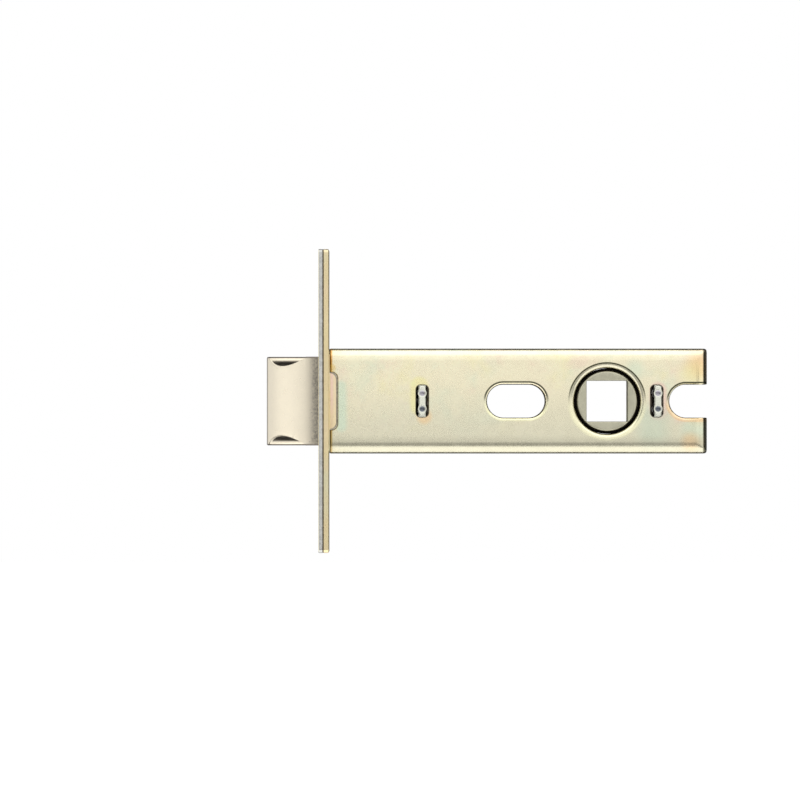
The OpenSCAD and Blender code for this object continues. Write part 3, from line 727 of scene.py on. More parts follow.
def case_finish(colours, sizes):
    """Pale zinc plating with clouds, coloured haloes at the openings and a gold front edge, with painted shade
    low on the case, on its upper rims, in its gaps, inside it, on its rear bend and in the crevice at its
    front, and painted highlights on the lower rims.
    """
    finish, tree, shader, place = start_metal("Passivated zinc")
    tinted = bloom(tree, place, colours, colours.passivate, 0.5)
    height = coordinate(tree, place, "Z")
    # Painted shade: the plating turns darker towards the bottom.
    low = ramp(tree, height, -8 * MM, 6 * MM, 0.85, 0.0)
    tinted = mix(tree, low, tinted, rgba(colours.passivate_shaded))
    slot = sizes.tenon_height / 2 - 1 * MM
    front_x, rear_x = sizes.front_bridge_x, sizes.rear_bridge_x
    notch_x = SPINDLE_X + sizes.notch_to_hub
    notch_z = sizes.slot_height / 2 + 0.3 * MM
    tints = (
        (front_x - 0.6 * MM, 1 * MM, slot, 1.2 * MM, 2.2 * MM, 0.75, colours.yellow),
        (front_x + 0.4 * MM, -slot - 1 * MM, 0, 0.8 * MM, 2.0 * MM, 0.6, colours.orange),
        (rear_x, 0, slot, 1.2 * MM, 2.1 * MM, 0.85, colours.pink),
        (notch_x - 1 * MM, -notch_z + 0.6 * MM, 0, 0.5 * MM, 2.2 * MM, 0.6, colours.pink),
        (notch_x + 2 * MM, -notch_z, 0, 0.5 * MM, 2.6 * MM, 0.7, colours.orange),
        (CASE_HIGH.x - 1.5 * MM, CASE_HALF_H - 3.4 * MM, 0, 0.6 * MM, 4 * MM, 0.8, colours.orange),
        (CASE_HIGH.x - 3 * MM, CASE_HALF_H - 5 * MM, 0, 0.5 * MM, 4 * MM, 0.5, colours.yellow),
        (CASE_HIGH.x - 2.5 * MM, -CASE_HALF_H + 4 * MM, 1 * MM, 0.5 * MM, 4 * MM, 0.6, colours.green),
        (CASE_HIGH.x - 3.5 * MM, -CASE_HALF_H + 2.2 * MM, 0, 0.3 * MM, 2.4 * MM, 0.5, colours.orange),
        (FOREND_HIGH.x + 1 * MM, -1 * MM, 4 * MM, 0.4 * MM, 1.6 * MM, 0.7, colours.green),
        (SPINDLE_X + 5.5 * MM, 6.2 * MM, 0, 0.5 * MM, 3 * MM, 0.5, colours.green),
        # A darker copy of the green, low at the rear, adds painted shade there.
        (SPINDLE_X + 9 * MM, -5 * MM, 1 * MM, 1 * MM, 5 * MM, 0.5, [c * 0.88 for c in colours.green]),
    )
    for *spot, tint in tints:
        tinted = mix(tree, halo(tree, place, *spot), tinted, rgba(tint))
    radius = sizes.slot_height / 2
    hub = (SPINDLE_X, 0, sizes.hub_bore / 2)
    front_slot = (SPINDLE_X - sizes.slot_to_hub, sizes.slot_length / 2 - radius, radius)
    notch = (notch_x + sizes.slot_length, sizes.slot_length, radius)
    # Painted shade on the upper rims and painted highlights on the lower rims of the bore, the front slot and
    # the notch; the notch's lower highlight is orange.
    rims = (
        (hub, 0.0, 0.9 * MM, 1, 0.85, [c * 0.82 for c in colours.passivate_shaded]),
        (hub, 0.82 * MM, 1.22 * MM, 1, 1.0, colours.shade),
        (hub, 0.1 * MM, 1.5 * MM, -1, 0.55, colours.painted_rim_highlight),
        (front_slot, 0.26 * MM, 0.74 * MM, 1, 0.95, colours.shade),
        (front_slot, 0, 0.8 * MM, -1, 0.8, colours.painted_rim_highlight),
        (notch, 0.14 * MM, 0.62 * MM, 1, 1.0, colours.shade),
        (notch, 0, 1.0 * MM, -1, 0.6, colours.orange),
    )
    for opening, near, far, up, amount, tint in rims:
        mask = calc(tree, "MULTIPLY", rim_mask(tree, place, opening, near, far, up), amount)
        tinted = mix(tree, mask, tinted, rgba(tint))
    near = ramp(tree, coordinate(tree, place, "Y"), -1 * MM, 1 * MM, 0.85, 0.0)
    up = calc(tree, "ABSOLUTE", height)
    half_slot = sizes.tenon_height / 2 + 0.1 * MM
    # Painted shade in the gaps round the near half's tenon slots.
    for x in (front_x, rear_x + (sizes.stake_width - sizes.tenon_slot + 0.1 * MM) / 2):
        mask = box_mask(tree, place, x, sizes.tenon_slot / 2, half_slot, sizes.tenon_corner, 0.06 * MM,
                        0.2 * MM)
        tinted = mix(tree, calc(tree, "MULTIPLY", mask, near), tinted, rgba(colours.oiled_steel_and_shade))
    # Painted shade in the gap round the forend's lug.
    lug_half = sizes.lug_height / 2 + sizes.lug_gap
    reach = FOREND_HIGH.x + sizes.lug_gap - CASE_LOW.x
    mask = box_mask(tree, place, CASE_LOW.x, reach, lug_half, sizes.lug_corner, 0.02 * MM, 0.2 * MM)
    tinted = mix(tree, calc(tree, "MULTIPLY", mask, 0.9), tinted, rgba(colours.shade))
    # Painted shade on the case's inner surfaces.
    inside = ramp(tree, calc(tree, "ABSOLUTE", coordinate(tree, place, "Y")),
                  CASE_HALF_T - 0.75 * MM, CASE_HALF_T - 0.6 * MM, 0.9, 0.0)
    middle = ramp(tree, up, CASE_HALF_H - 2 * MM, CASE_HALF_H - 1.6 * MM, 1.0, 0.0)
    before = ramp(tree, coordinate(tree, place, "X"), CASE_HIGH.x - 2.4 * MM, CASE_HIGH.x - 2 * MM, 1.0, 0.0)
    inside_shade = calc(tree, "MULTIPLY", inside, calc(tree, "MULTIPLY", middle, before))
    tinted = mix(tree, inside_shade, tinted, rgba(colours.oiled_steel_and_shade))
    # Painted shade: a darker band just above the bottom bend.
    dull = ramp(tree, height, -CASE_HALF_H + 1.9 * MM, -CASE_HALF_H + 3.8 * MM, 0.55, 0.0)
    tinted = mix(tree, dull, tinted, rgba([c * 0.7 for c in colours.passivate_shaded]))
    along = coordinate(tree, place, "X")
    # Painted shade: a dark band on the rear bend just before the rear end.
    rear = ramp(tree, along, CASE_HIGH.x - 0.95 * MM, CASE_HIGH.x - 0.6 * MM, 0.0, 0.9)
    end = ramp(tree, along, CASE_HIGH.x - 0.4 * MM, CASE_HIGH.x - 0.15 * MM, 1.0, 0.1)
    tinted = mix(tree, calc(tree, "MULTIPLY", rear, end), tinted, rgba([c * 0.7 for c in colours.shade]))
    fold = halo(tree, place, CASE_HIGH.x - 3 * MM, -CASE_HALF_H + 2.3 * MM, 0, 0.5 * MM, 3.2 * MM, 0.4)
    tinted = mix(tree, fold, tinted, rgba([c * 0.88 for c in colours.orange]))
    # Gold passivate on the front roll; the darker olive copy low down and the dark line at the very front are
    # painted shade in the crevice by the forend.
    from_front = calc(tree, "SUBTRACT", along, CASE_LOW.x)
    olive_shade = mix(tree, 0.5, rgba([c * 0.6 for c in colours.gold]), rgba([c * 0.5 for c in colours.yellow]))
    edge = mix(tree, ramp(tree, height, -4 * MM, 4 * MM), olive_shade, rgba(colours.gold))
    tinted = mix(tree, ramp(tree, from_front, 0.25 * MM, 0.7 * MM, 0.9, 0.0), tinted, edge)
    tinted = mix(tree, ramp(tree, from_front, 0.05 * MM, 0.25 * MM, 0.8, 0.0), tinted, rgba(colours.joint_grime_and_shade))
    corner = halo(tree, place, CASE_LOW.x + 0.4 * MM, sizes.lug_height / 2 + 1 * MM, 0, 0.4 * MM, 1.1 * MM,
                  0.75)
    golden = mix(tree, 0.5, rgba(colours.yellow), rgba(colours.gold))
    tinted = mix(tree, corner, tinted, golden)
    finish_metal(tree, shader, place, tinted, 0.28, 0.32 * MM, 0.1, 0.08, 0.05)
    return finish


def stake_finish(colours, sizes, name, x):
    """Bright steel of a bridge with scuffed punch marks, the lower marks painted darker as shade."""
    finish, tree, shader, place = start_metal(name)
    base = rgba(colours.tenon)
    # The lower marks take a darker copy: painted shade.
    for side, dent in ((1, colours.punched), (-1, colours.punch_mark_shaded)):
        mark = halo(tree, place, x, side * sizes.punch_pitch / 2, 0, 0.45 * MM, sizes.punch_radius, 0.95)
        base = mix(tree, mark, base, rgba(dent))
    finish_metal(tree, shader, place, base, 0.28, 0.25 * MM, 0.12, 0.3)
    return finish


def bolt_finish(colours, sizes):
    """Satin nickel with painted shade on the outer edges, towards the tip, in the grooves and as a dark speckle
    at the heel by the face plate.
    """
    finish, tree, shader, place = start_metal("Satin nickel")
    up = calc(tree, "ABSOLUTE", coordinate(tree, place, "Z"))
    radius = arc_radius(sizes.groove_width, sizes.groove_depth)
    below = calc(tree, "SUBTRACT", BOLT_HIGH.z - sizes.groove_depth + radius, up)
    aside = coordinate(tree, place, "Y")
    far = calc(tree, "SQRT", calc(tree, "ADD", calc(tree, "MULTIPLY", below, below),
                                  calc(tree, "MULTIPLY", aside, aside)))
    # Painted shade in the grooves, darker deeper down.
    inside = ramp(tree, far, radius + 0.01 * MM, radius + 0.06 * MM, 1.0, 0.0)
    deep = ramp(tree, up, BOLT_HIGH.z - 1.15 * MM, BOLT_HIGH.z - 0.5 * MM, 1.0, 0.0)
    base = mix(tree, calc(tree, "MULTIPLY", inside, deep), rgba(colours.nickel), rgba(colours.groove))
    # Painted shade: a dark outline along the top and bottom edges and the tip, and a dimmer stretch behind the
    # tip.
    rim = ramp(tree, up, BOLT_HIGH.z - 0.36 * MM, BOLT_HIGH.z - 0.18 * MM)
    along = coordinate(tree, place, "X")
    tip = ramp(tree, along, BOLT_LOW.x + 0.1 * MM, BOLT_LOW.x + 0.32 * MM, 0.9, 0.0)
    tip_shade = ramp(tree, along, BOLT_LOW.x + 0.3 * MM, BOLT_LOW.x + 3.2 * MM, 0.35, 0.0)
    base = mix(tree, tip_shade, base, rgba([c * 0.5 for c in colours.nickel]))
    base = mix(tree, calc(tree, "MAXIMUM", rim, tip), base, rgba(colours.painted_edge_shade))
    # Painted shade near the face plate, broken up by noise.
    heel = ramp(tree, along, -sizes.heel_length, -0.2 * sizes.heel_length)
    heel_shade_speckle = ramp(tree, noise(tree, place, 0.45 * MM, 3.0, 0.7), 0.35, 0.65, 0.0, 0.5)
    base = mix(tree, calc(tree, "MULTIPLY", heel, heel_shade_speckle), base, rgba(colours.painted_edge_shade))
    finish_metal(tree, shader, place, base, 0.3, 0.28 * MM, 0.05, 0.12, 0.05)
    return finish


# Pieces


def aperture_outline(sizes):
    """Opening for the bolt in Y and Z, with a lobe in the middle of its top and bottom."""
    half_w = BOLT_HIGH.y + sizes.aperture_gap_y
    half_h = BOLT_HIGH.z + sizes.aperture_gap_z
    radius = arc_radius(sizes.lobe_width, sizes.lobe_height)
    reach = math.degrees(math.asin(sizes.lobe_width / 2 / radius))
    centre = half_h - sizes.lobe_height + radius
    top = arc((0, centre), radius, 270 + reach, 270 - reach, 20)
    bottom = arc((0, -centre), radius, 90 + reach, 90 - reach, 20)
    return [(half_w, -half_h), (half_w, half_h), *top, (-half_w, half_h), (-half_w, -half_h), *bottom]


def plate_cutters(sizes):
    """Tools for the aperture, the screw holes and the countersinks of both plates."""
    half = sizes.countersink / 2
    hole = sizes.screw_hole / 2
    tools = [prism("aperture", aperture_outline(sizes), -OVER, FOREND_HIGH.x + OVER, "X")]
    for side in (-1, 1):
        profile = [(half + OVER, -OVER), (hole, half - hole), (hole, FOREND_HIGH.x + OVER)]
        tools.append(turned("screw", profile, (0, side * sizes.screw_spacing / 2), "X"))
    return tools


class LATCH_OT_plates(bpy.types.Operator):
    """Makes the brass face plate and the forend with its two lugs."""

    bl_idname = "latch.plates"
    bl_label = "Plates"

    def execute(self, context):
        sizes, colours = context.scene.latch_sizes, context.scene.latch_finishes
        outline = rounded_box((PLATE_LOW.y, PLATE_LOW.z), (PLATE_HIGH.y, PLATE_HIGH.z), sizes.plate_corner)
        plate = prism("brass_face_plate", outline, PLATE_LOW.x - sizes.plate_growth, PLATE_HIGH.x, "X")
        combine(plate, plate_cutters(sizes))
        soften(plate, sizes.plate_edge)
        mount(plate, "face_plate", "face_brass", brass_finish(colours, sizes))

        back = CASE_LOW.x - sizes.forend_relief
        forend = prism("steel_forend", outline, PLATE_HIGH.x, back, "X")
        combine(forend, plate_cutters(sizes))
        seat = rounded_box((CASE_LOW.y, CASE_LOW.z), (-CASE_LOW.y, CASE_HIGH.z), sizes.lug_corner)
        seat = prism("seat", seat, back - sizes.forend_relief, CASE_LOW.x, "X")
        parts = [combine(seat, plate_cutters(sizes))]
        for side in (-1, 1):
            shape = rounded_box((FOREND_HIGH.x - 3 * sizes.lug_corner, -sizes.lug_height / 2),
                                (FOREND_HIGH.x, sizes.lug_height / 2), sizes.lug_corner)
            levels = sorted((side * CASE_HALF_T, side * (CASE_HALF_T - sizes.sheet)))
            lug = prism("lug", shape, *levels)
            front = prism("front", rounded_box((-10 * MM, -40 * MM), (CASE_LOW.x - 0.2 * MM, 40 * MM), OVER),
                          -20 * MM, 20 * MM)
            parts.append(combine(lug, [front]))
        combine(forend, parts, "UNION")
        soften(forend, sizes.plate_edge)
        mount(forend, "forend", "forend_steel", forend_finish(colours))
        return {"FINISHED"}


def pressed_form(name, x_front, inset, sizes, roll, rim):
    """Closed solid of the near half's outer or inner form, with round bends and pressed rear corners."""
    x_rear = CASE_HIGH.x - inset
    half_t = CASE_HALF_T - inset
    half_h = CASE_HALF_H + sizes.case_growth - inset
    bend = sizes.bend - inset
    power = 9.0 if inset == 0 else 3.0  # squareness of the rear corners seen from the side
    ease = 2.35  # squareness of a bend's section, which starts softly on the flat side
    steps = 16
    turns = [math.radians(90 * i / steps) for i in range(steps + 1)]
    columns = []
    if roll:
        columns += [(x_front + roll * (1 - math.cos(math.radians(90 * i / 6))), 0) for i in range(6)]
    columns += [(x_front + roll, 0)] + [(None, turn) for turn in turns]
    rows = [-turn for turn in reversed(turns)] + turns
    vertices = []
    for x_flat, a in columns:
        for b in rows:
            lean = Vector((math.sin(a), math.cos(a) * math.cos(b), math.sin(abs(b))))
            side = (lean.x ** power + lean.z ** power) ** (ease / power)
            lean /= (side + lean.y ** ease) ** (1 / ease)
            x = x_flat if x_flat is not None else x_rear - bend + bend * lean.x
            y = half_t - bend + bend * lean.y
            if roll and x < x_front + roll:
                y = min(y, half_t - roll + math.sqrt(max(roll ** 2 - (x_front + roll - x) ** 2, 0)))
            z = math.copysign(half_h - bend + bend * lean.z, b if b else -1)
            vertices.append((x, -y, z))
    middle = len(rows) // 2
    for c in range(len(columns)):
        low = vertices[c * len(rows) + middle]
        vertices[c * len(rows) + middle] = (low[0], low[1], half_h - bend)
    wide = len(rows)
    faces = [(c * wide + r, c * wide + r + 1, (c + 1) * wide + r + 1, (c + 1) * wide + r)
             for c in range(len(columns) - 1) for r in range(wide - 1)]
    last = len(columns) - 1
    ring = ([c * wide for c in range(last)] + [last * wide + r for r in range(wide - 1)]
            + [c * wide + wide - 1 for c in range(last, 0, -1)] + list(range(wide - 1, 0, -1)))
    start = len(vertices)
    vertices += [(vertices[i][0], rim, vertices[i][2]) for i in ring]
    count = len(ring)
    faces += [(ring[i], ring[(i + 1) % count], start + (i + 1) % count, start + i) for i in range(count)]
    faces.append(tuple(range(start, start + count)))
    return new_piece(name, vertices, faces)


def case_cutters(sizes):
    """Tools for the bore, the fixing slots and the lug's cut-out in the near half's side."""
    def notch(growth):
        radius = sizes.slot_height / 2 + growth
        curve = arc((SPINDLE_X + sizes.notch_to_hub, 0), radius, 90, 270, 36)
        return [*curve, (CASE_HIGH.x + OVER, -radius), (CASE_HIGH.x + OVER, radius)]

    def slot(growth):
        return obround((SPINDLE_X - sizes.slot_to_hub, 0), sizes.slot_length + 2 * growth,
                       sizes.slot_height + 2 * growth)

    def bore(growth):
        return circle((SPINDLE_X, 0), sizes.hub_bore / 2 + growth, 96)

    lug_half = sizes.lug_height / 2 + sizes.lug_gap
    lug = rounded_box((CASE_LOW.x - 3 * sizes.lug_corner, -lug_half),
                      (FOREND_HIGH.x + sizes.lug_gap, lug_half), sizes.lug_corner)
    face = CASE_LOW.y
    return [
        rolled_cutter("bore", bore, sizes.hub_mouth, face, OVER, 0.75),
        rolled_cutter("slot", slot, sizes.slot_roll, face, OVER),
        rolled_cutter("notch", notch, sizes.slot_roll, face, OVER),
        prism("lug_cut", lug, face - OVER, OVER),
    ]


def tenon_slots(sizes, side):
    """Tools for a half's two tenon slots: the near half's are wide, the far half's are filled by the tenons."""
    half_h = sizes.tenon_height / 2 + 0.1 * MM
    width = sizes.tenon_slot
    shift = (sizes.stake_width - width + 0.1 * MM) / 2
    levels = sorted((0, side * (CASE_HALF_T + OVER)))
    if side < 0:
        outlines = [
            rounded_box((x - width / 2, -half_h), (x + width / 2, half_h), sizes.tenon_corner)
            for x in (sizes.front_bridge_x, sizes.rear_bridge_x + shift)
        ]
    else:
        snug = [(w * 1.04, z * 1.01) for w, z in tenon_outline(sizes, 1)]
        outlines = [[(x + w, z) for w, z in snug] for x in (sizes.front_bridge_x, sizes.rear_bridge_x)]
    return [prism("tenon_slot", outline, *levels) for outline in outlines]


class LATCH_OT_case(bpy.types.Operator):
    """Makes the two pressed halves of the case."""

    bl_idname = "latch.case"
    bl_label = "Case"

    def execute(self, context):
        sizes, colours = context.scene.latch_sizes, context.scene.latch_finishes
        near = pressed_form("case_near", CASE_LOW.x, 0, sizes, sizes.front_roll, 0)
        combine(near, [pressed_form("inside", CASE_LOW.x - OVER, sizes.sheet, sizes, 0, OVER)])
        collar = prism("collar", circle((SPINDLE_X, 0), sizes.hub_bore / 2 + sizes.collar_wall),
                       CASE_LOW.y + sizes.sheet / 2, CASE_LOW.y + sizes.sheet + sizes.collar_height)
        combine(near, [collar], "UNION")
        combine(near, case_cutters(sizes))
        far = near.copy()
        far.data = near.data.copy()
        far.name = "case_far"
        context.scene.collection.objects.link(far)
        for vertex in far.data.vertices:
            vertex.co.y = -vertex.co.y
        far.data.flip_normals()
        plating = case_finish(colours, sizes)
        for half, node, side in ((near, "case_half_near", -1), (far, "case_half_far", 1)):
            combine(half, tenon_slots(sizes, side))
            soften(half, sizes.sheet_edge)
            mount(half, node, "case_steel", plating)
        return {"FINISHED"}


def tenon_outline(sizes, spread):
    """Outline of a tenon about its own middle; spread swells it beside the punch marks."""
    neck = sizes.tenon_neck / 2
    swell = (sizes.stake_width / 2 - neck) * spread
    half_h = sizes.tenon_height / 2
    steps = 56
    right = []
    for i in range(steps + 1):
        z = -half_h + sizes.tenon_height * i / steps
        bulge = math.exp(-(((abs(z) - sizes.punch_pitch / 2) / (0.55 * MM)) ** 2))
        end = max(0.0, (abs(z) - (half_h - neck)) / neck)
        right.append(((neck + swell * bulge) * math.sqrt(max(1 - end ** 3, 0.04)), z))
    return right + [(-w, z) for w, z in reversed(right)]


def tenon_end(x, side, sizes):
    """Closed solid of one staked tenon end, domed at its edges and dented by two punch marks."""
    edge = 0.2 * MM
    half_h = sizes.tenon_height / 2
    straight, spread = tenon_outline(sizes, 0), tenon_outline(sizes, 1)
    rings = [(straight, 0, 2 * MM, 0), (straight, 0, 0.8 * MM, 0), (spread, 0, 0.4 * MM, 0)]
    for i in range(5):
        a = math.radians(90 * i / 4)
        rings.append((spread, edge * (1 - math.cos(a)), edge * (1 - math.sin(a)), 0))
    rings += [(spread, edge, 0, k / 7) for k in range(1, 8)]
    vertices = []
    for outline, inset, drop, shrink in rings:
        for w, z in outline:
            across = math.copysign(max(abs(w) - inset, 0) * (1 - shrink), w)
            level = z * (1 - inset / half_h)
            depth = drop
            if drop < edge:
                spot = math.hypot(across, abs(level) - sizes.punch_pitch / 2) / sizes.punch_radius
                depth += sizes.punch_depth * max(1 - spot ** 2, 0) ** 1.5
                depth -= 0.05 * MM * math.exp(-(((spot - 1.1) / 0.25) ** 2))
            vertices.append((x + across, side * (CASE_HALF_T - max(depth, 0)), level))
    count = len(straight)
    faces = [(k * count + i, k * count + (i + 1) % count, (k + 1) * count + (i + 1) % count,
              (k + 1) * count + i) for k in range(len(rings) - 1) for i in range(count)]
    faces.append(tuple(range(count)))
    end = new_piece("tenon", vertices, faces)
    with_bmesh(end, lambda bm: bmesh.ops.remove_doubles(bm, verts=bm.verts, dist=0.001 * MM))
    with_bmesh(end, lambda bm: bmesh.ops.recalc_face_normals(bm, faces=bm.faces))
    end.data.shade_smooth()
    return end


def bridge(name, x, sizes, tail_hole):
    """A bridge with staked tenons at both ends and two punch marks in each."""
    inner = CASE_HALF_T - sizes.sheet - 0.05 * MM
    half_h = CASE_HALF_H - sizes.sheet - 0.1 * MM
    piece = prism(name, rounded_box((-inner, -half_h), (inner, half_h), 0.5 * MM),
                  x - sizes.bridge_sheet / 2, x + sizes.bridge_sheet / 2, "X")
    if tail_hole:
        combine(piece, [prism("hole", circle((0, 0), 2.2 * MM), x - 2 * MM, x + 2 * MM, "X")])
    with_bmesh(piece, lambda bm: bmesh.ops.bevel(bm, geom=bm.edges, offset=0.1 * MM, segments=2,
                                                 affect="EDGES", clamp_overlap=True))
    join(piece, [tenon_end(x, side, sizes) for side in (-1, 1)])
    return piece


def join(piece, others):
    """Joins other meshes to the piece as they are."""
    bm = bmesh.new()
    bm.from_mesh(piece.data)
    for other in others:
        bm.from_mesh(other.data)
        bpy.data.objects.remove(other)
    bm.to_mesh(piece.data)
    bm.free()


class LATCH_OT_bridges(bpy.types.Operator):
    """Makes the two bridges that hold the halves apart."""

    bl_idname = "latch.bridges"
    bl_label = "Bridges"

    def execute(self, context):
        sizes, colours = context.scene.latch_sizes, context.scene.latch_finishes
        for end, x in (("front", sizes.front_bridge_x), ("rear", sizes.rear_bridge_x)):
            piece = bridge("bridge_" + end, x, sizes, end == "front")
            mount(piece, end + "_bridge", "bridge_steel",
                  stake_finish(colours, sizes, "Staked steel " + end, x))
        return {"FINISHED"}


def bevel_outline(sizes):
    """Plan of the bolt in X and Y: the land at the tip and the arched bevel on the near side."""
    tip = Vector((BOLT_LOW.x, BOLT_HIGH.y - sizes.bolt_land))
    heel = Vector((BOLT_LOW.x + sizes.bevel_length, BOLT_LOW.y))
    chord = heel - tip
    square = Vector((-chord.y, chord.x)).normalized()
    centre = (tip + heel) / 2 + square * math.sqrt(sizes.bevel_radius ** 2 - (chord.length / 2) ** 2)
    first = math.degrees(math.atan2(tip.y - centre.y, tip.x - centre.x)) % 360
    last = math.degrees(math.atan2(heel.y - centre.y, heel.x - centre.x)) % 360
    curve = arc(centre, sizes.bevel_radius, first, last, 64)
    return [*curve, (BOLT_HIGH.x, BOLT_LOW.y), (BOLT_HIGH.x, BOLT_HIGH.y), (BOLT_LOW.x, BOLT_HIGH.y)]


class LATCH_OT_bolt(bpy.types.Operator):
    """Makes the latch bolt with its arched bevel, grooves and spring pocket."""

    bl_idname = "latch.bolt"
    bl_label = "Latch bolt"

    def execute(self, context):
        sizes, colours = context.scene.latch_sizes, context.scene.latch_finishes
        outline = bevel_outline(sizes)
        levels = (BOLT_LOW.z, -6 * MM, 6 * MM, BOLT_HIGH.z)
        bolt = loft("bolt_head", [(level, outline) for level in levels], "Z")
        radius = arc_radius(sizes.groove_width, sizes.groove_depth)
        tools = [
            prism("groove", circle((0, side * (BOLT_HIGH.z - sizes.groove_depth + radius)), radius, 72),
                  BOLT_LOW.x - OVER, BOLT_HIGH.x + OVER, "X")
            for side in (-1, 1)
        ]
        tools.append(prism("pocket", circle((0, 0), sizes.pocket / 2), 0, BOLT_HIGH.x + OVER, "X"))
        tools.append(prism("seat", circle((0, 0), TAIL_HIGH.y + 0.01 * MM), TAIL_LOW.x - 0.1 * MM, OVER, "X"))
        combine(bolt, tools)
        soften(bolt, sizes.bolt_edge, 4, weld=True)
        bolt.data.shade_smooth()
        mount(bolt, "latch_bolt", "bolt_nickel", bolt_finish(colours, sizes))
        return {"FINISHED"}


class LATCH_OT_tail(bpy.types.Operator):
    """Finishes the bolt's tail and its retaining ring."""

    bl_idname = "latch.tail"
    bl_label = "Tail and ring"

    def execute(self, context):
        colours = context.scene.latch_finishes
        dress("bolt_tail", 0.1 * MM, plain_metal("Oiled tail steel", colours.oiled_steel_and_shade, 0.35, 0.2 * MM, 0.08, 0.3, wear=0.3))
        dress("tail_ring", 0.08 * MM, plain_metal("Black spring steel", colours.oiled_steel_and_shade, 0.35, wear=0.3))
        return {"FINISHED"}


class LATCH_OT_draw_bar(bpy.types.Operator):
    """Finishes the draw bar, its guide pins and the spring saddle."""

    bl_idname = "latch.draw_bar"
    bl_label = "Draw bar and saddle"

    def execute(self, context):
        colours = context.scene.latch_finishes
        dress("draw_bar", 0.1 * MM, plain_metal("Browned draw bar", colours.dull, 0.4, wear=0.4))
        turned_steel = plain_metal("Guide pin steel", colours.steel, 0.22, 0.2 * MM, 0.08, 0.3)
        dress("guide_pin_top", 0.12 * MM, turned_steel)
        dress("guide_pin_bottom", 0.12 * MM, turned_steel)
        dress("spring_saddle", 0.1 * MM, plain_metal("Saddle steel", colours.oiled_steel_and_shade, 0.4, wear=0.5))
        return {"FINISHED"}


class LATCH_OT_follower(bpy.types.Operator):
    """Makes the follower with bright bosses, and near-black journals and shoulders painted as the shade in the
    gap round the bosses.
    """

    bl_idname = "latch.follower"
    bl_label = "Follower"

    def execute(self, context):
        sizes, colours = context.scene.latch_sizes, context.scene.latch_finishes
        node = frame["nodes"]["follower"]
        hub = bpy.data.objects.new("hub", node.data.copy())
        context.scene.collection.objects.link(hub)
        soften(hub, 0.2 * MM, weld=True)
        hub.data.shade_smooth()
        sintered = plain_metal("Sintered steel", colours.hub, 0.4, 0.22 * MM, 0.2, 0.5, wear=0.2)
        # Painted shade: the journals and shoulders take a near-black colour.
        journal_shade = plain_metal("Blackened journal", colours.journal, 0.6, 0.2 * MM, 0.1, 0.3)
        mount(hub, "follower", "follower_steel", sintered, journal_shade)
        for face in hub.data.polygons:
            centre = face.center
            radius = math.hypot(centre.x - SPINDLE_X, centre.z)
            shoulder = abs(face.normal.y) > 0.9 and abs(centre.y) < HUB_HIGH.y - 0.2 * MM
            if shoulder or radius > sizes.boss / 2 + 0.05 * MM:
                face.material_index = 1
        return {"FINISHED"}


def coil(name, node, wire, turns, finish):
    """Compression spring of round wire with one closed turn at each end, in a CAD node's place."""
    low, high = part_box(node)
    mean = high.z - low.z - wire
    centre_z = (low.z + high.z) / 2
    reach = high.x - low.x
    closed = 1.15 * wire
    pitch = (reach - wire - 2 * closed) / (turns - 2)
    sides, steps = 12, 28
    vertices = []
    for i in range(turns * steps + 1):
        t = i / steps
        if t < 1:
            advance = closed * t
        elif t > turns - 1:
            advance = reach - wire - closed * (turns - t)
        else:
            advance = closed + pitch * (t - 1)
        a = math.tau * t
        for j in range(sides):
            b = math.tau * j / sides
            r = mean / 2 + wire / 2 * math.cos(b)
            vertices.append((low.x + wire / 2 + advance + wire / 2 * math.sin(b), r * math.cos(a),
                             centre_z + r * math.sin(a)))
    faces = [
        (i * sides + j, i * sides + (j + 1) % sides, (i + 1) * sides + (j + 1) % sides, (i + 1) * sides + j)
        for i in range(turns * steps) for j in range(sides)
    ]
    last = turns * steps * sides
    faces += [tuple(range(sides)), tuple(range(last + sides - 1, last - 1, -1))]
    spring = new_piece(name, vertices, faces)
    spring.data.shade_smooth()
    return mount(spring, node, "spring_steel", finish)


class LATCH_OT_springs(bpy.types.Operator):
    """Winds the bolt spring and the two return springs."""

    bl_idname = "latch.springs"
    bl_label = "Springs"

    def execute(self, context):
        sizes, colours = context.scene.latch_sizes, context.scene.latch_finishes
        wire = plain_metal("Spring wire", colours.spring, 0.22, 0.15 * MM, 0.06, 0.2)
        light = coil("spring_bolt", "bolt_spring", sizes.bolt_wire, sizes.bolt_turns, wire)
        squeeze(light)
        for end in ("top", "bottom"):
            strong = coil("spring_" + end, "return_spring_" + end, sizes.return_wire, sizes.return_turns,
                          wire)
            squeeze(strong)
        return {"FINISHED"}


def squeeze(spring):
    """Gives the spring its own copy of its mesh."""
    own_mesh(spring)


# Studio


def white_for_rays(tree, strength):
    """Emission of that strength for camera, glossy and transmission rays only."""
    path = tree.nodes.new("ShaderNodeLightPath").outputs
    seen = calc(tree, "MAXIMUM", path["Is Camera Ray"],
                calc(tree, "MAXIMUM", path["Is Glossy Ray"], path["Is Transmission Ray"]))
    return calc(tree, "MULTIPLY", seen, strength)


def reflector(name, shade, low, high):
    """A flat card that only reflections show; low and high are its corners and agree in one direction."""
    flat = next(i for i in range(3) if low[i] == high[i])
    first, second = (i for i in range(3) if i != flat)
    vertices = []
    for u, v in ((0, 0), (1, 0), (1, 1), (0, 1)):
        point = list(low)
        point[first] = (low, high)[u][first]
        point[second] = (low, high)[v][second]
        vertices.append(point)
    card = new_piece(name, vertices, [(0, 1, 2, 3)])
    finish = bpy.data.materials.new(name)
    finish.use_nodes = True
    tree = finish.node_tree
    tree.nodes.remove(tree.nodes["Principled BSDF"])
    glow = add(tree, "ShaderNodeEmission", {"Color": (1, 1, 1, 1), "Strength": shade})
    tree.links.new(glow.outputs[0], tree.nodes["Material Output"].inputs["Surface"])
    card.data.materials.append(finish)
    card.visible_camera = False
    card.visible_diffuse = False
    card.visible_shadow = False
    card.visible_transmission = False
    return card


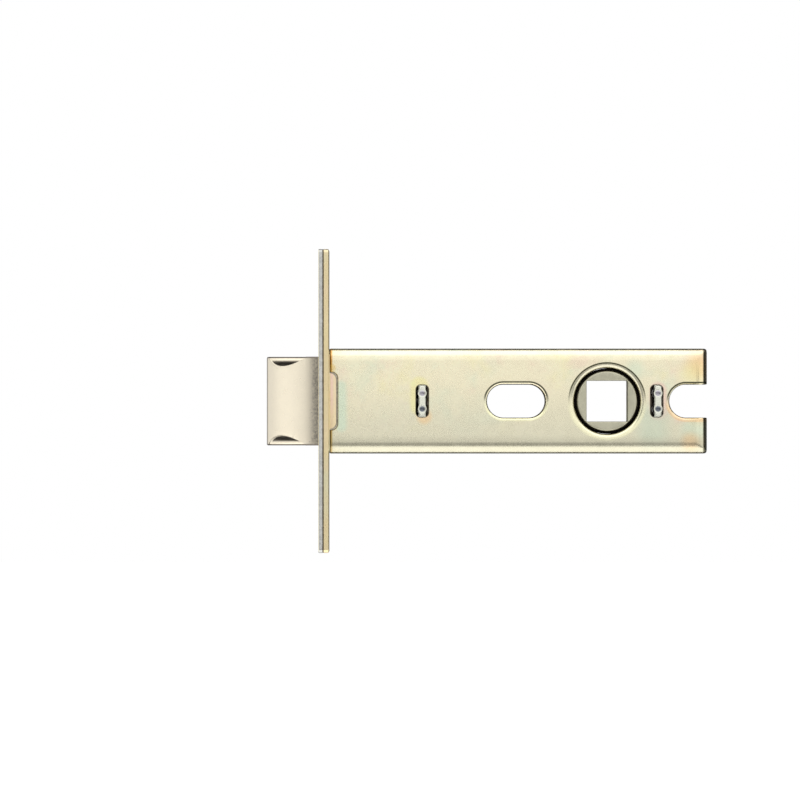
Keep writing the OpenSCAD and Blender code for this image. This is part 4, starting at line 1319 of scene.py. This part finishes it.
class LATCH_OT_studio(bpy.types.Operator):
    """Sets up the floor, the surroundings, the reflectors and the camera."""

    bl_idname = "latch.studio"
    bl_label = "Studio"

    def execute(self, context):
        studio = context.scene.latch_studio
        scene = context.scene
        scene.view_settings.view_transform = "Standard"

        world = bpy.data.worlds.new("Studio white")
        world.use_nodes = True
        scene.world = world
        world.node_tree.nodes["Background"].inputs["Color"].default_value = (1, 1, 1, 1)

        floor = new_piece("floor", [(-4, -4, 0), (4, -4, 0), (4, 4, 0), (-4, 4, 0)], [(0, 1, 2, 3)])
        floor.location.z = -studio.floor_drop
        finish = bpy.data.materials.new("Pale floor")
        finish.use_nodes = True
        tree = finish.node_tree
        shader = tree.nodes["Principled BSDF"]
        shader.inputs["Base Color"].default_value = (0.86, 0.86, 0.86, 1)
        shader.inputs["Roughness"].default_value = 1
        shader.inputs["Specular IOR Level"].default_value = 0
        shader.inputs["Emission Color"].default_value = (1, 1, 1, 1)
        tree.links.new(white_for_rays(tree, 0.3), shader.inputs["Emission Strength"])
        floor.data.materials.append(finish)

        low = -studio.floor_drop + 5 * MM
        reflector("overhead_softbox", 1.45, (-0.7, -0.5, 0.5), (0.7, 0.22, 0.5))
        reflector("upper_rear_flag", 0.03, (-0.3, 0.22, 0.52), (1.0, 0.7, 0.52))
        reflector("rear_flag", 0.08, (-0.25, 0.5, low), (0.7, 0.5, 0.52))
        reflector("right_flag", 0.08, (0.7, -0.08, low), (0.7, 0.5, 0.52))
        reflector("low_front_flag", 0.4, (-0.7, -1.2, low), (0.7, -0.11, low))
        reflector("low_reflector", 1.5, (-0.5, -0.11, low), (0.6, 0.035, low))
        reflector("low_rear_flag", 0.1, (-0.3, 0.035, low), (0.7, 0.5, low))
        reflector("left_flag", 0.08, (-0.66, -0.5, -0.3), (-0.3, -0.5, 0.3))

        camera = bpy.data.objects.new("Camera", bpy.data.cameras.new("Camera"))
        scene.collection.objects.link(camera)
        camera.location = (studio.camera_x, -studio.distance, studio.camera_z)
        aim = Vector((studio.camera_x, 0, studio.target_z)) - camera.location
        camera.rotation_euler = aim.to_track_quat("-Z", "Y").to_euler()
        camera.data.lens = studio.lens
        camera.data.clip_start = 0.01
        camera.data.clip_end = 20
        scene.camera = camera
        return {"FINISHED"}


class LATCH_PT_panel(bpy.types.Panel):
    """Lists the steps that make the latch."""

    bl_label = "Tubular Latch"
    bl_idname = "LATCH_PT_panel"
    bl_space_type = "VIEW_3D"
    bl_region_type = "UI"
    bl_category = "Latch"

    def draw(self, context):
        column = self.layout.column(align=True)
        for step in STEPS:
            column.operator(step.bl_idname)


STEPS = (LATCH_OT_plates, LATCH_OT_case, LATCH_OT_bridges, LATCH_OT_bolt, LATCH_OT_tail, LATCH_OT_draw_bar,
         LATCH_OT_follower, LATCH_OT_springs, LATCH_OT_studio)
CLASSES = (LatchSizes, LatchFinishes, LatchStudio, *STEPS, LATCH_PT_panel)


def register():
    for cls in CLASSES:
        bpy.utils.register_class(cls)
    bpy.types.Scene.latch_sizes = PointerProperty(type=LatchSizes)
    bpy.types.Scene.latch_finishes = PointerProperty(type=LatchFinishes)
    bpy.types.Scene.latch_studio = PointerProperty(type=LatchStudio)


def unregister():
    del bpy.types.Scene.latch_studio
    del bpy.types.Scene.latch_finishes
    del bpy.types.Scene.latch_sizes
    for cls in reversed(CLASSES):
        bpy.utils.unregister_class(cls)


def main():
    """Makes the latch."""
    register()
    bpy.ops.latch.plates()
    bpy.ops.latch.case()
    bpy.ops.latch.bridges()
    bpy.ops.latch.bolt()
    bpy.ops.latch.tail()
    bpy.ops.latch.draw_bar()
    bpy.ops.latch.follower()
    bpy.ops.latch.springs()
    bpy.ops.latch.studio()


if __name__ == "__main__":
    main()
